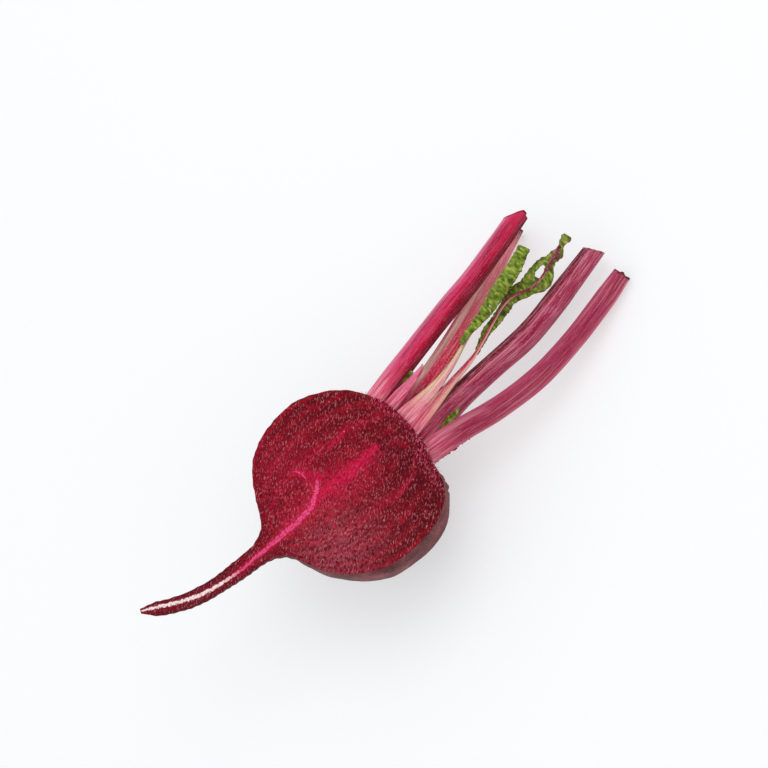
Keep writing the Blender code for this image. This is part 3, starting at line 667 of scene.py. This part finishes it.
def leaf_look():
    """Puckered green blade, painted shade in its creases and highlight on its swellings, purple veins and
    margin.
    """
    look = Look("young_leaf_green", roughness=0.45, shine=0.2)
    place = look.place()
    fine = look.noise(place, 0.7, 4.0, 0.6)
    tone = look.plus(look.value("puff"), look.swing(fine, 0.7))
    # Colour by puff: painted shade in the creases, painted highlight on the swellings.
    look.colour = look.ramp(look.plus(0.5, look.times(tone, 0.5)), (
        (0.05, "303c0a"), (0.28, "48580e"), (0.48, "5e7014"), (0.68, "748822"), (0.92, "9eae48"),
    ))
    look.tint("5a0c28", look.value("margin"), look.between(fine, 0.3, 0.5))
    look.tint(look.mix(fine, "701438", "b86078"), look.value("leaf_vein"))
    look.set("Base Color", look.colour)
    look.fix({"Subsurface Weight": 0.15, "Subsurface Radius": (0.6, 1.0, 0.3), "Subsurface Scale": 0.6 * MM})
    look.bump(look.plus(fine, look.noise(place, 0.3, 2.0)), 0.12, 0.7)
    return look.material


def droplet_look():
    """Clear water."""
    look = Look("dew", roughness=0.05, shine=0.5)
    look.fix({"Base Color": paint("f4f8ee"), "Transmission Weight": 0.5, "IOR": 1.33})
    look.bump(look.noise(look.place(), 0.2, 2.0), 0.02, 0.3)
    return look.material


def add_piece(name, points, faces, looks, values, nodes, face_looks=None):
    """A mesh from cut-frame points, closed or a sheet, which stands for the CAD nodes named, if any."""
    mesh = bpy.data.meshes.new(name)
    lying = np.array(LYING)
    mesh.from_pydata((np.asarray(points) * MM @ lying[:3, :3].T + lying[:3, 3]).tolist(), [], faces)
    for key, numbers in values.items():
        numbers = np.asarray(numbers, np.float32)
        kind, field = ("FLOAT", "value") if numbers.ndim == 1 else ("FLOAT_VECTOR", "vector")
        mesh.attributes.new(key, kind, "POINT").data.foreach_set(field, numbers.ravel())
    for look in looks:
        mesh.materials.append(look)
    if face_looks is not None:
        mesh.polygons.foreach_set("material_index", face_looks)
    builder = bmesh.new()
    builder.from_mesh(mesh)
    bmesh.ops.recalc_face_normals(builder, faces=builder.faces)
    builder.to_mesh(mesh)
    builder.free()
    mesh.shade_smooth()
    made = bpy.data.objects.new(name, mesh)
    bpy.context.scene.collection.objects.link(made)
    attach(made, "root")
    if nodes:
        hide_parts(*nodes)
    return made


def thicken(sheet, thickness, offset):
    """Gives a sheet its thickness, to one side of it for an offset of -1 and evenly for 0."""
    solid = sheet.modifiers.new("Thickness", "SOLIDIFY")
    solid.thickness = thickness * MM
    solid.offset = offset


def strip_faces(rows, columns, closed=False, missing=None):
    """Four-sided faces of a grid of points, numbered row by row.

    Closed joins its last column to its first, and missing says which of them are left out.
    """
    faces = []
    for i in range(rows - 1):
        for j in range(columns if closed else columns - 1):
            if missing is not None and missing[i, j]:
                continue
            k = (j + 1) % columns
            faces.append((i * columns + j, i * columns + k, (i + 1) * columns + k, (i + 1) * columns + j))
    return faces


def tube_faces(base, sides):
    """Faces of a tube with closed ends, whose rings of points start at the number in base."""
    faces = [tuple(base + corner for corner in face) for face in strip_faces(TUBE_RINGS, sides, closed=True)]
    last = base + (TUBE_RINGS - 1) * sides
    return faces + [tuple(range(base, base + sides)), tuple(range(last, last + sides))]


def root_relief(points):
    """How far the skin stands out: lumps, leaf scars by the crown, root wrinkles; and the scars alone."""
    inside = fade(points[..., 2], *RIM_FADE)
    on_bulb = fade(points[..., 0], *BULB_FADE)
    lumps = waves(points, *LUMPS) + waves(points, *DIMPLES)
    reach = np.linalg.norm(points - CROWN, axis=-1) + waves(points, *SCAR_DRIFT)
    band = fade(reach, *SCARS_START) * fade(reach, *SCARS_END)
    ridge = np.cos(2 * math.pi * reach / SCAR_SPACING)
    place = points[..., 0] + waves(points, *WRINKLE_DRIFT)
    wrinkles = WRINKLE_HEIGHT * np.cos(2 * math.pi * place / WRINKLE_SPACING)
    wrinkles = wrinkles * (1 - on_bulb) * (WRINKLE_AT_RIM + (1 - WRINKLE_AT_RIM) * inside)
    relief = lumps * on_bulb + SCAR_HEIGHT * band * ridge + waves(points, *PORES)
    return inside * relief + wrinkles, inside * band * -ridge


def root_arcs():
    """The root's arcs from rim to rim round its back, with relief, and the scar value of each point."""
    rims = spline(RIM, np.linspace(0.0, 1.0, ROOT_RINGS))
    middles = (rims[:, :2] + rims[:, 2:]) / 2
    spreads = (rims[:, :2] - rims[:, 2:]) / 2
    angles = np.linspace(0.0, math.pi, ROOT_SEGMENTS + 1)
    across = middles[:, None, :] + spreads[:, None, :] * np.cos(angles)[None, :, None]
    depth = ROUNDNESS * np.linalg.norm(spreads, axis=1)[:, None] * np.sin(angles)[None, :]
    grid = np.concatenate([across, -depth[:, :, None]], axis=2)
    normals = unit(np.cross(np.gradient(grid, axis=1), np.gradient(grid, axis=0)))
    normals[:, (0, -1), 2] = 0.0
    normals = unit(normals)
    relief, scars = root_relief(grid)
    relief += (1 - fade(grid[..., 2], *NICK_FADE)) * waves(grid, *NICKS)
    grid = grid + relief[..., None] * normals
    grid[:, (0, -1), 2] = 0.0
    down_way = np.array((math.sin(DIP), 0.0, -math.cos(DIP)))
    sunk = np.maximum(0.0, grid @ down_way - CUT_ORIGIN.z / MM)
    return grid - sunk[..., None] * down_way, scars


def off_line(points, knots):
    """How many half widths each point is away from the line through knots of (U, V, half width)."""
    line = spline(knots, np.linspace(0.0, 1.0, 160))
    value = np.full(len(points), OFF_VEIN)
    for (u, v, width), (next_u, next_v, _) in zip(line, line[1:]):
        run = np.array((next_u - u, next_v - v))
        offset = points[:, :2] - (u, v)
        share = np.clip(offset @ run / (run @ run), 0.0, 1.0)
        away = np.linalg.norm(offset - share[:, None] * run, axis=1)
        value = np.minimum(value, away / max(width, 0.05))
    return value


def face_points(rim):
    """A lattice of points inside the cut face, clear of its rim, and how far each is from the rim."""
    low, high = rim.min(axis=0), rim.max(axis=0)
    rows = np.arange(low[1], high[1], FACE_PITCH * math.sqrt(3) / 2)
    found = []
    steps = np.concatenate([rim, rim[:1]])
    for k, v in enumerate(rows):
        above = steps[:, 1] > v
        crossing = np.flatnonzero(above[1:] != above[:-1])
        (u0, v0), (u1, v1) = steps[crossing].T, steps[crossing + 1].T
        cuts = np.sort(u0 + (v - v0) / (v1 - v0) * (u1 - u0))
        for left, right in zip(cuts[::2], cuts[1::2]):
            first = low[0] + (k % 2) * FACE_PITCH / 2
            count = np.arange(math.ceil((left - first) / FACE_PITCH), (right - first) / FACE_PITCH)
            found.extend((first + n * FACE_PITCH, v) for n in count)
    found = np.array(found)
    apart = np.concatenate([
        np.linalg.norm(block[:, None, :] - rim[None, :, :], axis=2).min(axis=1)
        for block in np.array_split(found, 12)
    ])
    clear = apart > 0.6 * FACE_PITCH
    return found[clear], apart[clear]


def add_root():
    """The root: skin round its back and a fine lattice on its cut face, in one closed mesh."""
    grid, scars = root_arcs()
    rings, arc = grid.shape[:2]
    skin = grid.reshape(-1, 3)
    faces = strip_faces(rings, arc)
    number = np.arange(rings * arc).reshape(rings, arc)
    faces += [tuple(number[0]), tuple(number[-1])]
    skin_faces = len(faces)
    rim = np.concatenate([number[:, 0], number[::-1, -1]])
    inner, apart = face_points(skin[rim, :2])
    flat = [Vector(point) for point in np.concatenate([skin[rim, :2], inner])]
    made = geometry.delaunay_2d_cdt(flat, [], [list(range(len(rim)))], 1, 1e-7)
    numbers = np.concatenate([rim, len(skin) + np.arange(len(inner))])
    numbers = [numbers[sources[0]] for sources in made[3]]
    faces += [tuple(int(numbers[corner]) for corner in face) for face in made[2]]
    raised = np.column_stack([inner, np.zeros(len(inner))])
    raised[:, 2] = (waves(raised, *DRAG) + waves(raised, *GRAIN)) * fade(apart, *RELIEF_FADE)
    points = np.concatenate([skin, raised])

    rims = spline(RIM, np.linspace(0.0, 1.0, ROOT_RINGS))
    middle_u = (rims[:, 0] + rims[:, 2]) / 2
    order = np.argsort(middle_u)
    u, v, _ = points.T
    middle = np.interp(u, middle_u[order], ((rims[:, 1] + rims[:, 3]) / 2)[order])
    spread = np.interp(u, middle_u[order], ((rims[:, 1] - rims[:, 3]) / 2)[order])
    ring = np.clip(np.abs(v - middle) / spread, 0.0, 1.0)
    ring[: len(skin)] = 1.0

    def on_cut(numbers, on_skin=0.0):
        return np.concatenate([np.full(len(skin), on_skin), numbers])

    def patch(middle_u, middle_v):
        return bell(np.hypot(u - middle_u, v - middle_v) / PATCH_RADIUS)

    wide = [[(*at, VEIN_HALO / 2 + 0.6 * width) for *at, width in line] for line in (MAIN_VEIN, SIDE_VEIN)]
    halo = np.maximum(bell(off_line(inner, wide[0])), 0.7 * bell(off_line(inner, wide[1])))
    from_middle = np.linalg.norm(points - CROWN + (16.0, 0.0, 0.0), axis=1)
    glows = [bell(off_line(inner, GLOW))] + [0.7 * bell(off_line(inner, line)) for line in GLOW_LINES]
    values = {
        "ring": ring,
        "vein": on_cut(np.minimum(off_line(inner, MAIN_VEIN), 1.4 * off_line(inner, SIDE_VEIN)), OFF_VEIN),
        "halo": on_cut(halo * (1 - 0.7 * fade(inner[:, 0], *HALO_END))),
        "glow": on_cut(np.max(glows, axis=0)),
        "scar": np.append(scars, np.zeros(len(inner))),
        "tail_end": fade(u, *TAIL_COLOUR),
        "pale_core": fade(u, *PALE_CORE),
        "crown_end": fade(u, *CROWN_COLOUR) * fade(v, 16.0, -12.0),
        "warm": patch(*WARM_PATCH),
        "milky": patch(*MILKY_PATCH),
        "tissue": fade(from_middle, 13.0, 4.0) * fade(u, *TISSUE),
    }
    face_looks = np.zeros(len(faces), int)
    face_looks[skin_faces:] = 1
    looks = (skin_look(), flesh_look())
    root = add_piece("beet_root", points, faces, looks, values, ["beetroot_half"], face_looks)
    root.data.set_sharp_from_angle(angle=math.radians(50))
    return points[rim]


def stalk_outline(width, thickness, turns):
    """A stalk's cross-section: ribbed and round outside, with a groove down its inner face."""
    side, face = np.cos(turns), np.sin(turns)
    shoulder = INNER_SHARE * np.maximum(face, 0.0) ** INNER_FULLNESS
    groove = GROOVE_DEPTH * np.maximum(0.0, 1 - (side / GROOVE_WIDTH) ** 2) ** GROOVE_FULLNESS
    rib = 1 - RIB_HEIGHT * np.cos(2 * STALK_RIBS * turns) * face
    x = np.where(face > 0, width / 2 * side, width / 2 * side * rib)
    y = np.where(face > 0, thickness * (shoulder - groove), thickness * (1 - INNER_SHARE) * face * rib)
    return x, y


def stalk_rings(line, shape, sides):
    """Cross-sections along a stalk, and for each of their points the values that its look reads."""
    tangent, side, face = frames(line, shape["groove_faces"])
    along = lengths(line)
    slant_side, slant_face = shape.get("slant", (0.0, 0.0))
    widths, thicknesses = eased(shape["size"], along / along[-1] * shape.get("stem_end", 1.0))
    turns = 2 * math.pi * (np.arange(sides) + 0.5) / sides
    flare = 1 + shape.get("flare", FLARE) * bell(np.maximum(0.0, along - FLARE_LENGTH) / FLARE_LENGTH)
    x, y = stalk_outline((widths * flare)[:, None], thicknesses[:, None], turns[None, :])
    place = np.stack([x, y, np.broadcast_to(along[:, None], x.shape)], axis=-1)
    wave = 1 + STALK_WAVE * soft_noise(place, STALK_WAVE_SIZE, widths[0])
    run = place * (1.0, 1.0, FINE_RIB_SIZE / FINE_RIB_RUN)
    rib = soft_noise(run, FINE_RIB_SIZE, widths[0] + 20.0)
    size = np.minimum(1.0, widths / 6.0)[:, None]
    out = 1 + FINE_RIB_HEIGHT * size * rib / np.maximum(0.8, np.hypot(x, y))
    flat = x[..., None] * side[:, None] + y[..., None] * face[:, None]
    points = line[:, None] + flat * (wave * out)[..., None]
    end = fade(along / along[-1], TORN_FROM, 1 - TORN_FROM)[:, None]
    torn = soft_noise(points, *TORN_NOISE) + waves(points, *FRAYS)
    torn *= shape.get("ragged", 0.0)
    offset = (points - line[:, None]) @ UPPER_LEFT
    offset = offset / np.abs(offset).max(axis=1, keepdims=True)
    peak, left_drop, right_drop = shape.get("gable", (0.0, 0.0, 0.0))
    gable = peak * (1 - np.abs(offset)) - left_drop * np.maximum(offset, 0.0) ** 1.3
    gable += right_drop * np.minimum(offset, 0.0)
    points = points + tangent[:, None] * (end * (slant_side * x + slant_face * y + torn + gable))[..., None]
    by_ring = {
        "travel": along / along[-1] * shape.get("stem_end", 1.0),
        "root_end": 1 - fade(along, *BASE_COLOUR),
        "far": fade(along, *OUTER_COLOUR),
        "cut_end": 1 - fade(along[-1] - along, *END_COLOUR),
    }
    values = {key: np.broadcast_to(numbers[:, None], x.shape) for key, numbers in by_ring.items()}
    return points, {"grain": place * (1.0, 1.0, 0.05), "rib": rib * 2.2, "across": offset, **values}


def lowest(points):
    """Height of the lowest of these cut-frame points above the floor, in millimetres."""
    return (points[..., 2] * math.cos(DIP) - points[..., 0] * math.sin(DIP)).min() + CUT_ORIGIN.z / MM


def bent_to_floor(line, shape, sides):
    """The stalk's line, bent up or down towards its end until it just lies on the floor."""
    line = line.copy()
    reach = (line[:, 0] - line[0, 0]) / (line[-1, 0] - line[0, 0])
    for _ in range(BEND_ROUNDS):
        line[:, 2] -= lowest(stalk_rings(line, shape, sides)[0]) * reach**2
    return line


def inside_rim(points, rim):
    """Which points lie inside the cut face's outline, seen from in front of it."""
    inside = np.zeros(len(points), bool)
    for (u0, v0), (u1, v1) in zip(rim, np.roll(rim, -1, axis=0)):
        if v0 == v1:
            continue
        crosses = (v0 > points[:, 1]) != (v1 > points[:, 1])
        inside ^= crosses & (points[:, 0] < u0 + (points[:, 1] - v0) / (v1 - v0) * (u1 - u0))
    return inside


def add_stalk(name, node, shape, look, rim):
    """A stalk or stem from inside the crown to its frayed cut end."""
    sides = shape.get("sides", STALK_SIDES)
    rings = shape.get("rings", STALK_RINGS)
    line = spline(shape["path"], np.linspace(0.0, shape.get("stem_end", 1.0), rings))
    if shape.get("on_floor"):
        line = bent_to_floor(line, shape, sides)
    points, values = stalk_rings(line, shape, sides)
    last, middle = points[-1], points[-1].mean(axis=0)
    inward = unit(points[-2].mean(axis=0) - middle)
    caps = []
    for k in range(1, END_RINGS):
        share = k / END_RINGS
        ring = last + (middle - last) * share
        rough = waves(ring, *FRAYS) + END_DISH * fade(share, 0.0, 0.5)
        caps.append(ring + rough[:, None] * inward)
    points = np.concatenate([points, caps])
    for key, numbers in values.items():
        values[key] = np.concatenate([numbers, np.repeat(numbers[-1:], len(caps), axis=0)])
    rows = len(points)
    flat = points.reshape(-1, 3)
    hidden = inside_rim(flat, rim[:, :2])
    flat[hidden, 2] = np.minimum(flat[hidden, 2], -0.4)
    flat = np.concatenate([flat, [points[0].mean(axis=0)], [middle + END_DISH * inward]])
    faces = strip_faces(rows, sides, closed=True)
    base, tip = rows * sides, rows * sides + 1
    for j in range(sides):
        k = (j + 1) % sides
        faces.append((k, j, base))
        faces.append(((rows - 1) * sides + j, (rows - 1) * sides + k, tip))
    own = {}
    for key, numbers in values.items():
        numbers = numbers.reshape(rows * sides, -1)
        numbers = np.concatenate([numbers, numbers[:1], numbers[-1:]])
        own[key] = numbers[:, 0] if numbers.shape[1] == 1 else numbers
    add_piece(name, flat, faces, (look,), own, [node])


def puffed(points):
    """From -1 in the creases of a blade to 1 on its swellings."""
    drawn = points * PUFF_STRETCH
    ridges = 1 - 3.0 * np.abs(soft_noise(drawn, *PUFF_NOISE))
    return (1 - DIMPLE_SHARE) * ridges + DIMPLE_SHARE * 1.6 * soft_noise(drawn, *BLADE_DIMPLES)


def blade_plan(shape, facing, rows, columns):
    """Places along a blade, its path and measures there, its side and face, and places across it."""
    steps = np.linspace(shape["outline"][0][0], 1.0, rows)
    line = spline(shape["path"], steps)
    _, side, face = frames(line, facing)
    return steps, line, eased(shape["outline"], steps), side, face, np.linspace(-1.0, 1.0, columns)


def add_blade(name, node, grid, values, look, missing=None):
    faces = strip_faces(*grid.shape[:2], missing=missing)
    own = {key: numbers.ravel() for key, numbers in values.items()}
    thicken(add_piece(name, grid.reshape(-1, 3), faces, (look,), own, [node]), BLADE, 0.0)


def add_rolled_leaf(look):
    """The first young leaf, rolled round its midrib and puckered all over."""
    plan = blade_plan(ROLLED_LEAF, ROLLED_LEAF["opens_to"], ROLLED_ROWS, ROLLED_COLUMNS)
    steps, line, (radii, turns), side, face, across = plan
    angle = across[None, :] * np.radians(turns)[:, None]
    out = np.sin(angle)[..., None] * side[:, None] - np.cos(angle)[..., None] * face[:, None]
    smooth = line[:, None] + out * radii[:, None, None]
    puff = puffed(smooth)
    rise = PUFF_HEIGHT * puff + waves(smooth, *PUCKERS)
    frill = np.abs(across) ** 6 * waves(smooth, *FRILLS)
    grown = fade(steps, steps[0], 0.08)[:, None]
    grid = smooth + out * ((rise + frill) * grown)[..., None]
    blemish = soft_noise(smooth, *BLEMISH_NOISE)
    values = {
        "puff": puff,
        "margin": fade(np.abs(across), 0.93, 0.05) * (blemish > -0.2),
        "leaf_vein": bell((puff + 0.2 * blemish - 0.98) / 0.02) * (blemish > 0.25),
    }
    add_blade("rolled_blade", "young_leaf_1", grid, values, look)
    return steps, across, grid, out


def add_open_leaf(look):
    """The second young leaf, folded back from its midrib, ruffled, and torn through once."""
    shape = OPEN_LEAF
    plan = blade_plan(shape, shape["groove_faces"], OPEN_ROWS, OPEN_COLUMNS)
    steps, line, (left, right), side, face, across = plan
    line = line - MIDRIB_STANDOFF * face
    half = np.where(across < 0, -1, 1)
    reach = np.where(across[None, :] < 0, right[:, None], left[:, None])
    fold = np.where(across < 0, shape["fold"][-1], shape["fold"][1])
    out = (np.cos(fold) * half)[None, :, None] * side[:, None] - np.sin(fold)[None, :, None] * face[:, None]
    away = (np.abs(across) * reach)[..., None]
    smooth = line[:, None] + away * out
    puff = puffed(smooth)
    wave = np.abs(across) ** RUFFLE_GROWTH * waves(smooth, *RUFFLES)
    wave += np.abs(across) ** 3 * waves(smooth, *FRILLS)
    body = fade(away[..., 0], 0.0, 1.5)
    wave += fade(steps, 0.88, 0.04)[:, None] * body * waves(smooth, *CRUMPLES)
    wave += body * (0.6 * PUFF_HEIGHT * puff + waves(smooth, *PUCKERS))
    grid = smooth + wave[..., None] * face[:, None]
    crumpled = fade(steps, 0.86, 0.05)[:, None]
    ragged = (0.35 + 0.3 * crumpled) * np.abs(across) ** 4 * soft_noise(smooth, *TORN_EDGE_NOISE)
    grid += ragged[..., None] * out
    hole_place, hole_across, half_place, half_across = shape["hole"]
    middle_place = (steps[:-1] + steps[1:])[:, None] / 2
    middle_across = (across[:-1] + across[1:])[None, :] / 2
    gap = np.hypot((middle_place - hole_place) / half_place, (middle_across - hole_across) / half_across)
    missing = gap < 1 + 0.35 * soft_noise(smooth[:-1, :-1], *HOLE_EDGE_NOISE)
    phase = (lengths(line)[:, None] - SIDE_RIB_SLANT * away[..., 0]) / SIDE_RIB_SPACING
    ribs = bell((phase - np.round(phase)) / 0.035) * fade(np.abs(across), 1.1, -0.3)
    tip = (fade(steps, 0.84, 0.08) * fade(steps, 0.97, -0.03))[:, None]
    red_edge = bell((steps - 0.70) / 0.07)[:, None] * (across < 0)
    spots = np.clip(0.5 + 1.5 * soft_noise(smooth, *SPOT_NOISE), 0.0, 1.0) * tip * (across < 0.2)
    side_vein = bell(off_line(smooth.reshape(-1, 3), OPEN_SIDE_VEIN).reshape(puff.shape) / 1.2)
    frayed = np.clip(0.3 + soft_noise(smooth, *MARGIN_NOISE) + 0.8 * tip + red_edge, 0.0, 1.0)
    values = {
        "puff": puff,
        "margin": np.maximum(fade(np.abs(across), 0.88, 0.08) * frayed, 0.8 * spots),
        "leaf_vein": np.clip(0.8 * ribs + tip * bell(away[..., 0] / 0.7) + side_vein, 0.0, 1.0),
    }
    add_blade("open_blade", "young_leaf_2", grid, values, look, missing)


def add_shoot(name, shape, look):
    """A tiny cupped bud leaf."""
    steps, line, (reach,), side, face, across = blade_plan(shape, shape["faces"], BUD_ROWS, BUD_COLUMNS)
    grid = line[:, None] + (across[None, :] * reach[:, None])[..., None] * side[:, None]
    puff = puffed(grid)
    wave = steps[:, None] * waves(grid, *BUD_RUFFLES) + BUD_CUP * across**2 * reach[:, None]
    wave += 0.3 * PUFF_HEIGHT * puff * steps[:, None]
    values = {
        "puff": puff,
        "margin": np.broadcast_to(fade(np.abs(across), 0.9, 0.08), puff.shape) * 0.4,
        "leaf_vein": np.broadcast_to(bell(across / 0.08), puff.shape) * 0.5,
    }
    add_blade(f"{name}_blade", name, grid + wave[..., None] * face[:, None], values, look)


def add_dew(leaf):
    """Small drops on the outside of the rolled leaf."""
    steps, across, grid, out = leaf
    points, faces = [], []
    for place, side, radius in DEW:
        i, j = np.abs(steps - place).argmin(), np.abs(across - side).argmin()
        base = len(points)
        rise = unit(out[i, j])
        turn = np.array(Vector(rise).to_track_quat("Z", "Y").to_matrix())
        for lift in np.linspace(-0.4, 1.45, TUBE_RINGS):
            wide, high = math.cos(lift), 0.6 * math.sin(lift)
            for spin in np.arange(DROP_SIDES) * 2 * math.pi / DROP_SIDES:
                shape = np.array((wide * math.cos(spin), wide * math.sin(spin), high))
                points.append(grid[i, j] + rise * (BLADE / 2) + radius * turn @ shape)
        faces += tube_faces(base, DROP_SIDES)
    add_piece("dew_drops", points, faces, (droplet_look(),), {}, [])


def add_shreds(rim, look):
    """Torn fibres that stand out from the rim of the cut face, where the stalks leave the crown."""
    draw = np.random.default_rng(7)
    near = rim[(rim[:, 0] > 15.0) & (rim[:, 1] > SHRED_SPREAD[0]) & (rim[:, 1] < SHRED_SPREAD[1])]
    middle = np.array((8.0, 2.0, 0.0))
    points, faces = [], []
    for _ in range(SHRED_COUNT):
        start = near[draw.integers(len(near))] + (draw.uniform(-1.2, 0.2), draw.uniform(-0.8, 0.8), -0.05)
        away = unit(start - middle)
        bend = np.array((draw.normal(), draw.normal(), 0.25 * draw.normal()))
        length = draw.uniform(*SHRED_LENGTH)
        radius = draw.uniform(*SHRED_RADIUS)
        base = len(points)
        for step in np.linspace(0.0, 1.0, TUBE_RINGS):
            rise = np.array((0.0, 0.0, 0.25 * math.sin(2.2 * step)))
            centre = start + length * (0.55 * step * away + 0.45 * step**2 * bend) + rise
            size = radius * (1 - 0.8 * step)
            for spin in np.arange(SHRED_SIDES) * 2 * math.pi / SHRED_SIDES:
                points.append(centre + size * np.array((0.0, math.cos(spin), math.sin(spin))))
        faces += tube_faces(base, SHRED_SIDES)
    add_piece("crown_shreds", points, faces, (look,), {}, [])


def add_membrane(look):
    """Frayed skin that hangs from the lower side of stalk_right, close to the crown."""
    shape = STALKS["stalk_right"]
    line = bent_to_floor(spline(shape["path"], np.linspace(0.0, 1.0, STALK_RINGS)), shape, STALK_SIDES)
    rings, _ = stalk_rings(line, shape, STALK_SIDES)
    along = lengths(line)
    used = np.flatnonzero((along > MEMBRANE_RUN[0]) & (along < MEMBRANE_RUN[1]))
    steps = np.linspace(used[0], used[-1], MEMBRANE_ROWS)

    def at_steps(curve):
        return np.array([np.interp(steps, used, curve[used, axis]) for axis in range(3)]).T

    hem = at_steps(rings[:, STALK_SIDES - 3])
    out = unit(hem - at_steps(line))
    torn = 0.45 + 0.9 * soft_noise(hem, *MEMBRANE_WAVES) + 0.5 * soft_noise(hem, *MEMBRANE_TATTERS)
    swell = np.sin(np.linspace(0.0, math.pi, MEMBRANE_ROWS)) ** 0.5
    reach = MEMBRANE_REACH * np.clip(torn, 0.05, 1.2) * swell
    columns = []
    for share in np.linspace(0.0, 1.0, MEMBRANE_COLUMNS):
        lift = soft_noise(hem, MEMBRANE_FOLDS[0], MEMBRANE_FOLDS[1] + share)[:, None] * (0.0, 0.0, 0.4)
        columns.append(hem + out * (reach * share - 0.25)[:, None] + lift)
    points = np.stack(columns, axis=1).reshape(-1, 3)
    faces = strip_faces(MEMBRANE_ROWS, MEMBRANE_COLUMNS)
    thicken(add_piece("frayed_membrane", points, faces, (look,), {}, []), MEMBRANE, -1.0)


def add_stage():
    """A plain white floor that glows a little, so that shadows stay faint, and an even sky."""
    bpy.ops.mesh.primitive_plane_add(size=6.0, location=(0.0, 0.0, 0.0))
    floor = bpy.context.object
    floor.name = "floor"
    look = Look("pale_floor", roughness=0.85)
    shade = look.noise(look.place(), 400.0, 2.0)
    look.set("Base Color", look.mix(shade, "b2b3b4", "b6b7b8"))
    look.fix({"Emission Color": (0.98, 0.99, 1.0, 1.0), "Emission Strength": 0.50})
    floor.data.materials.append(look.material)

    world = bpy.data.worlds.new("soft_sky")
    world.use_nodes = True
    sky = world.node_tree.nodes["Background"].inputs
    sky["Color"].default_value = (0.97, 0.985, 1.0, 1.0)
    sky["Strength"].default_value = 0.88
    bpy.context.scene.world = world


def view_axes():
    """The camera's right, up and backward directions in the row frame."""
    back = Vector((0.0, -math.sin(VIEW_TILT), math.cos(VIEW_TILT)))
    across = Vector((0.0, math.cos(VIEW_TILT), math.sin(VIEW_TILT)))
    along = Vector((1.0, 0.0, 0.0))
    right = math.cos(VIEW_ROLL) * along - math.sin(VIEW_ROLL) * across
    up = math.sin(VIEW_ROLL) * along + math.cos(VIEW_ROLL) * across
    turn = LYING.to_3x3()
    return turn @ right, turn @ up, turn @ back


def add_light(name, towards, distance, size, watts, target):
    """A soft round light at this distance from the target, which it faces."""
    data = bpy.data.lights.new(name, "AREA")
    data.shape = "DISK"
    data.size = size
    data.energy = watts
    light = bpy.data.objects.new(name, data)
    light.location = target + towards.normalized() * distance
    light.rotation_mode = "QUATERNION"
    light.rotation_quaternion = towards.to_track_quat("Z", "Y")
    bpy.context.scene.collection.objects.link(light)


def add_camera_and_lights():
    right, up, back = view_axes()
    target = LYING @ (VIEW_TARGET * MM)
    data = bpy.data.cameras.new("view")
    data.sensor_width = SENSOR
    data.lens = SENSOR * VIEW_DISTANCE / PICTURE_WIDTH
    camera = bpy.data.objects.new("view", data)
    camera.matrix_world = Matrix((right, up, back)).transposed().to_4x4()
    camera.location = target + back * VIEW_DISTANCE * MM
    bpy.context.scene.collection.objects.link(camera)
    bpy.context.scene.camera = camera
    key = 0.85 * up - 0.35 * right + 1.0 * back
    fill = -0.1 * up + 1.0 * right + 0.9 * back
    add_light("key", key, 0.9, 0.8, 2.0, target)
    add_light("fill", fill, 1.0, 0.8, 0.3, target)


def add_object():
    rim = add_root()
    for name, shape in STALKS.items():
        look = stalk_look(f"{name}_skin", **STALK_TINTS[name])
        add_stalk(f"{name}_ribbed", name, shape, look, rim)
    for name, leaf in {"young_petiole_1": ROLLED_LEAF, "young_petiole_2": OPEN_LEAF}.items():
        stem = {**leaf, "rings": PETIOLE_RINGS, "sides": PETIOLE_SIDES, "flare": STEM_FLARE}
        look = stalk_look(f"{name}_skin", **STALK_TINTS[name])
        add_stalk(f"{name}_stem", name, stem, look, rim)
    green = leaf_look()
    add_dew(add_rolled_leaf(green))
    add_open_leaf(green)
    for name, shape in SHOOTS.items():
        add_shoot(name, shape, green)
    torn = shred_look()
    add_shreds(rim, torn)
    add_membrane(torn)


add_object()
add_stage()
add_camera_and_lights()
bpy.context.scene.view_settings.view_transform = "Standard"
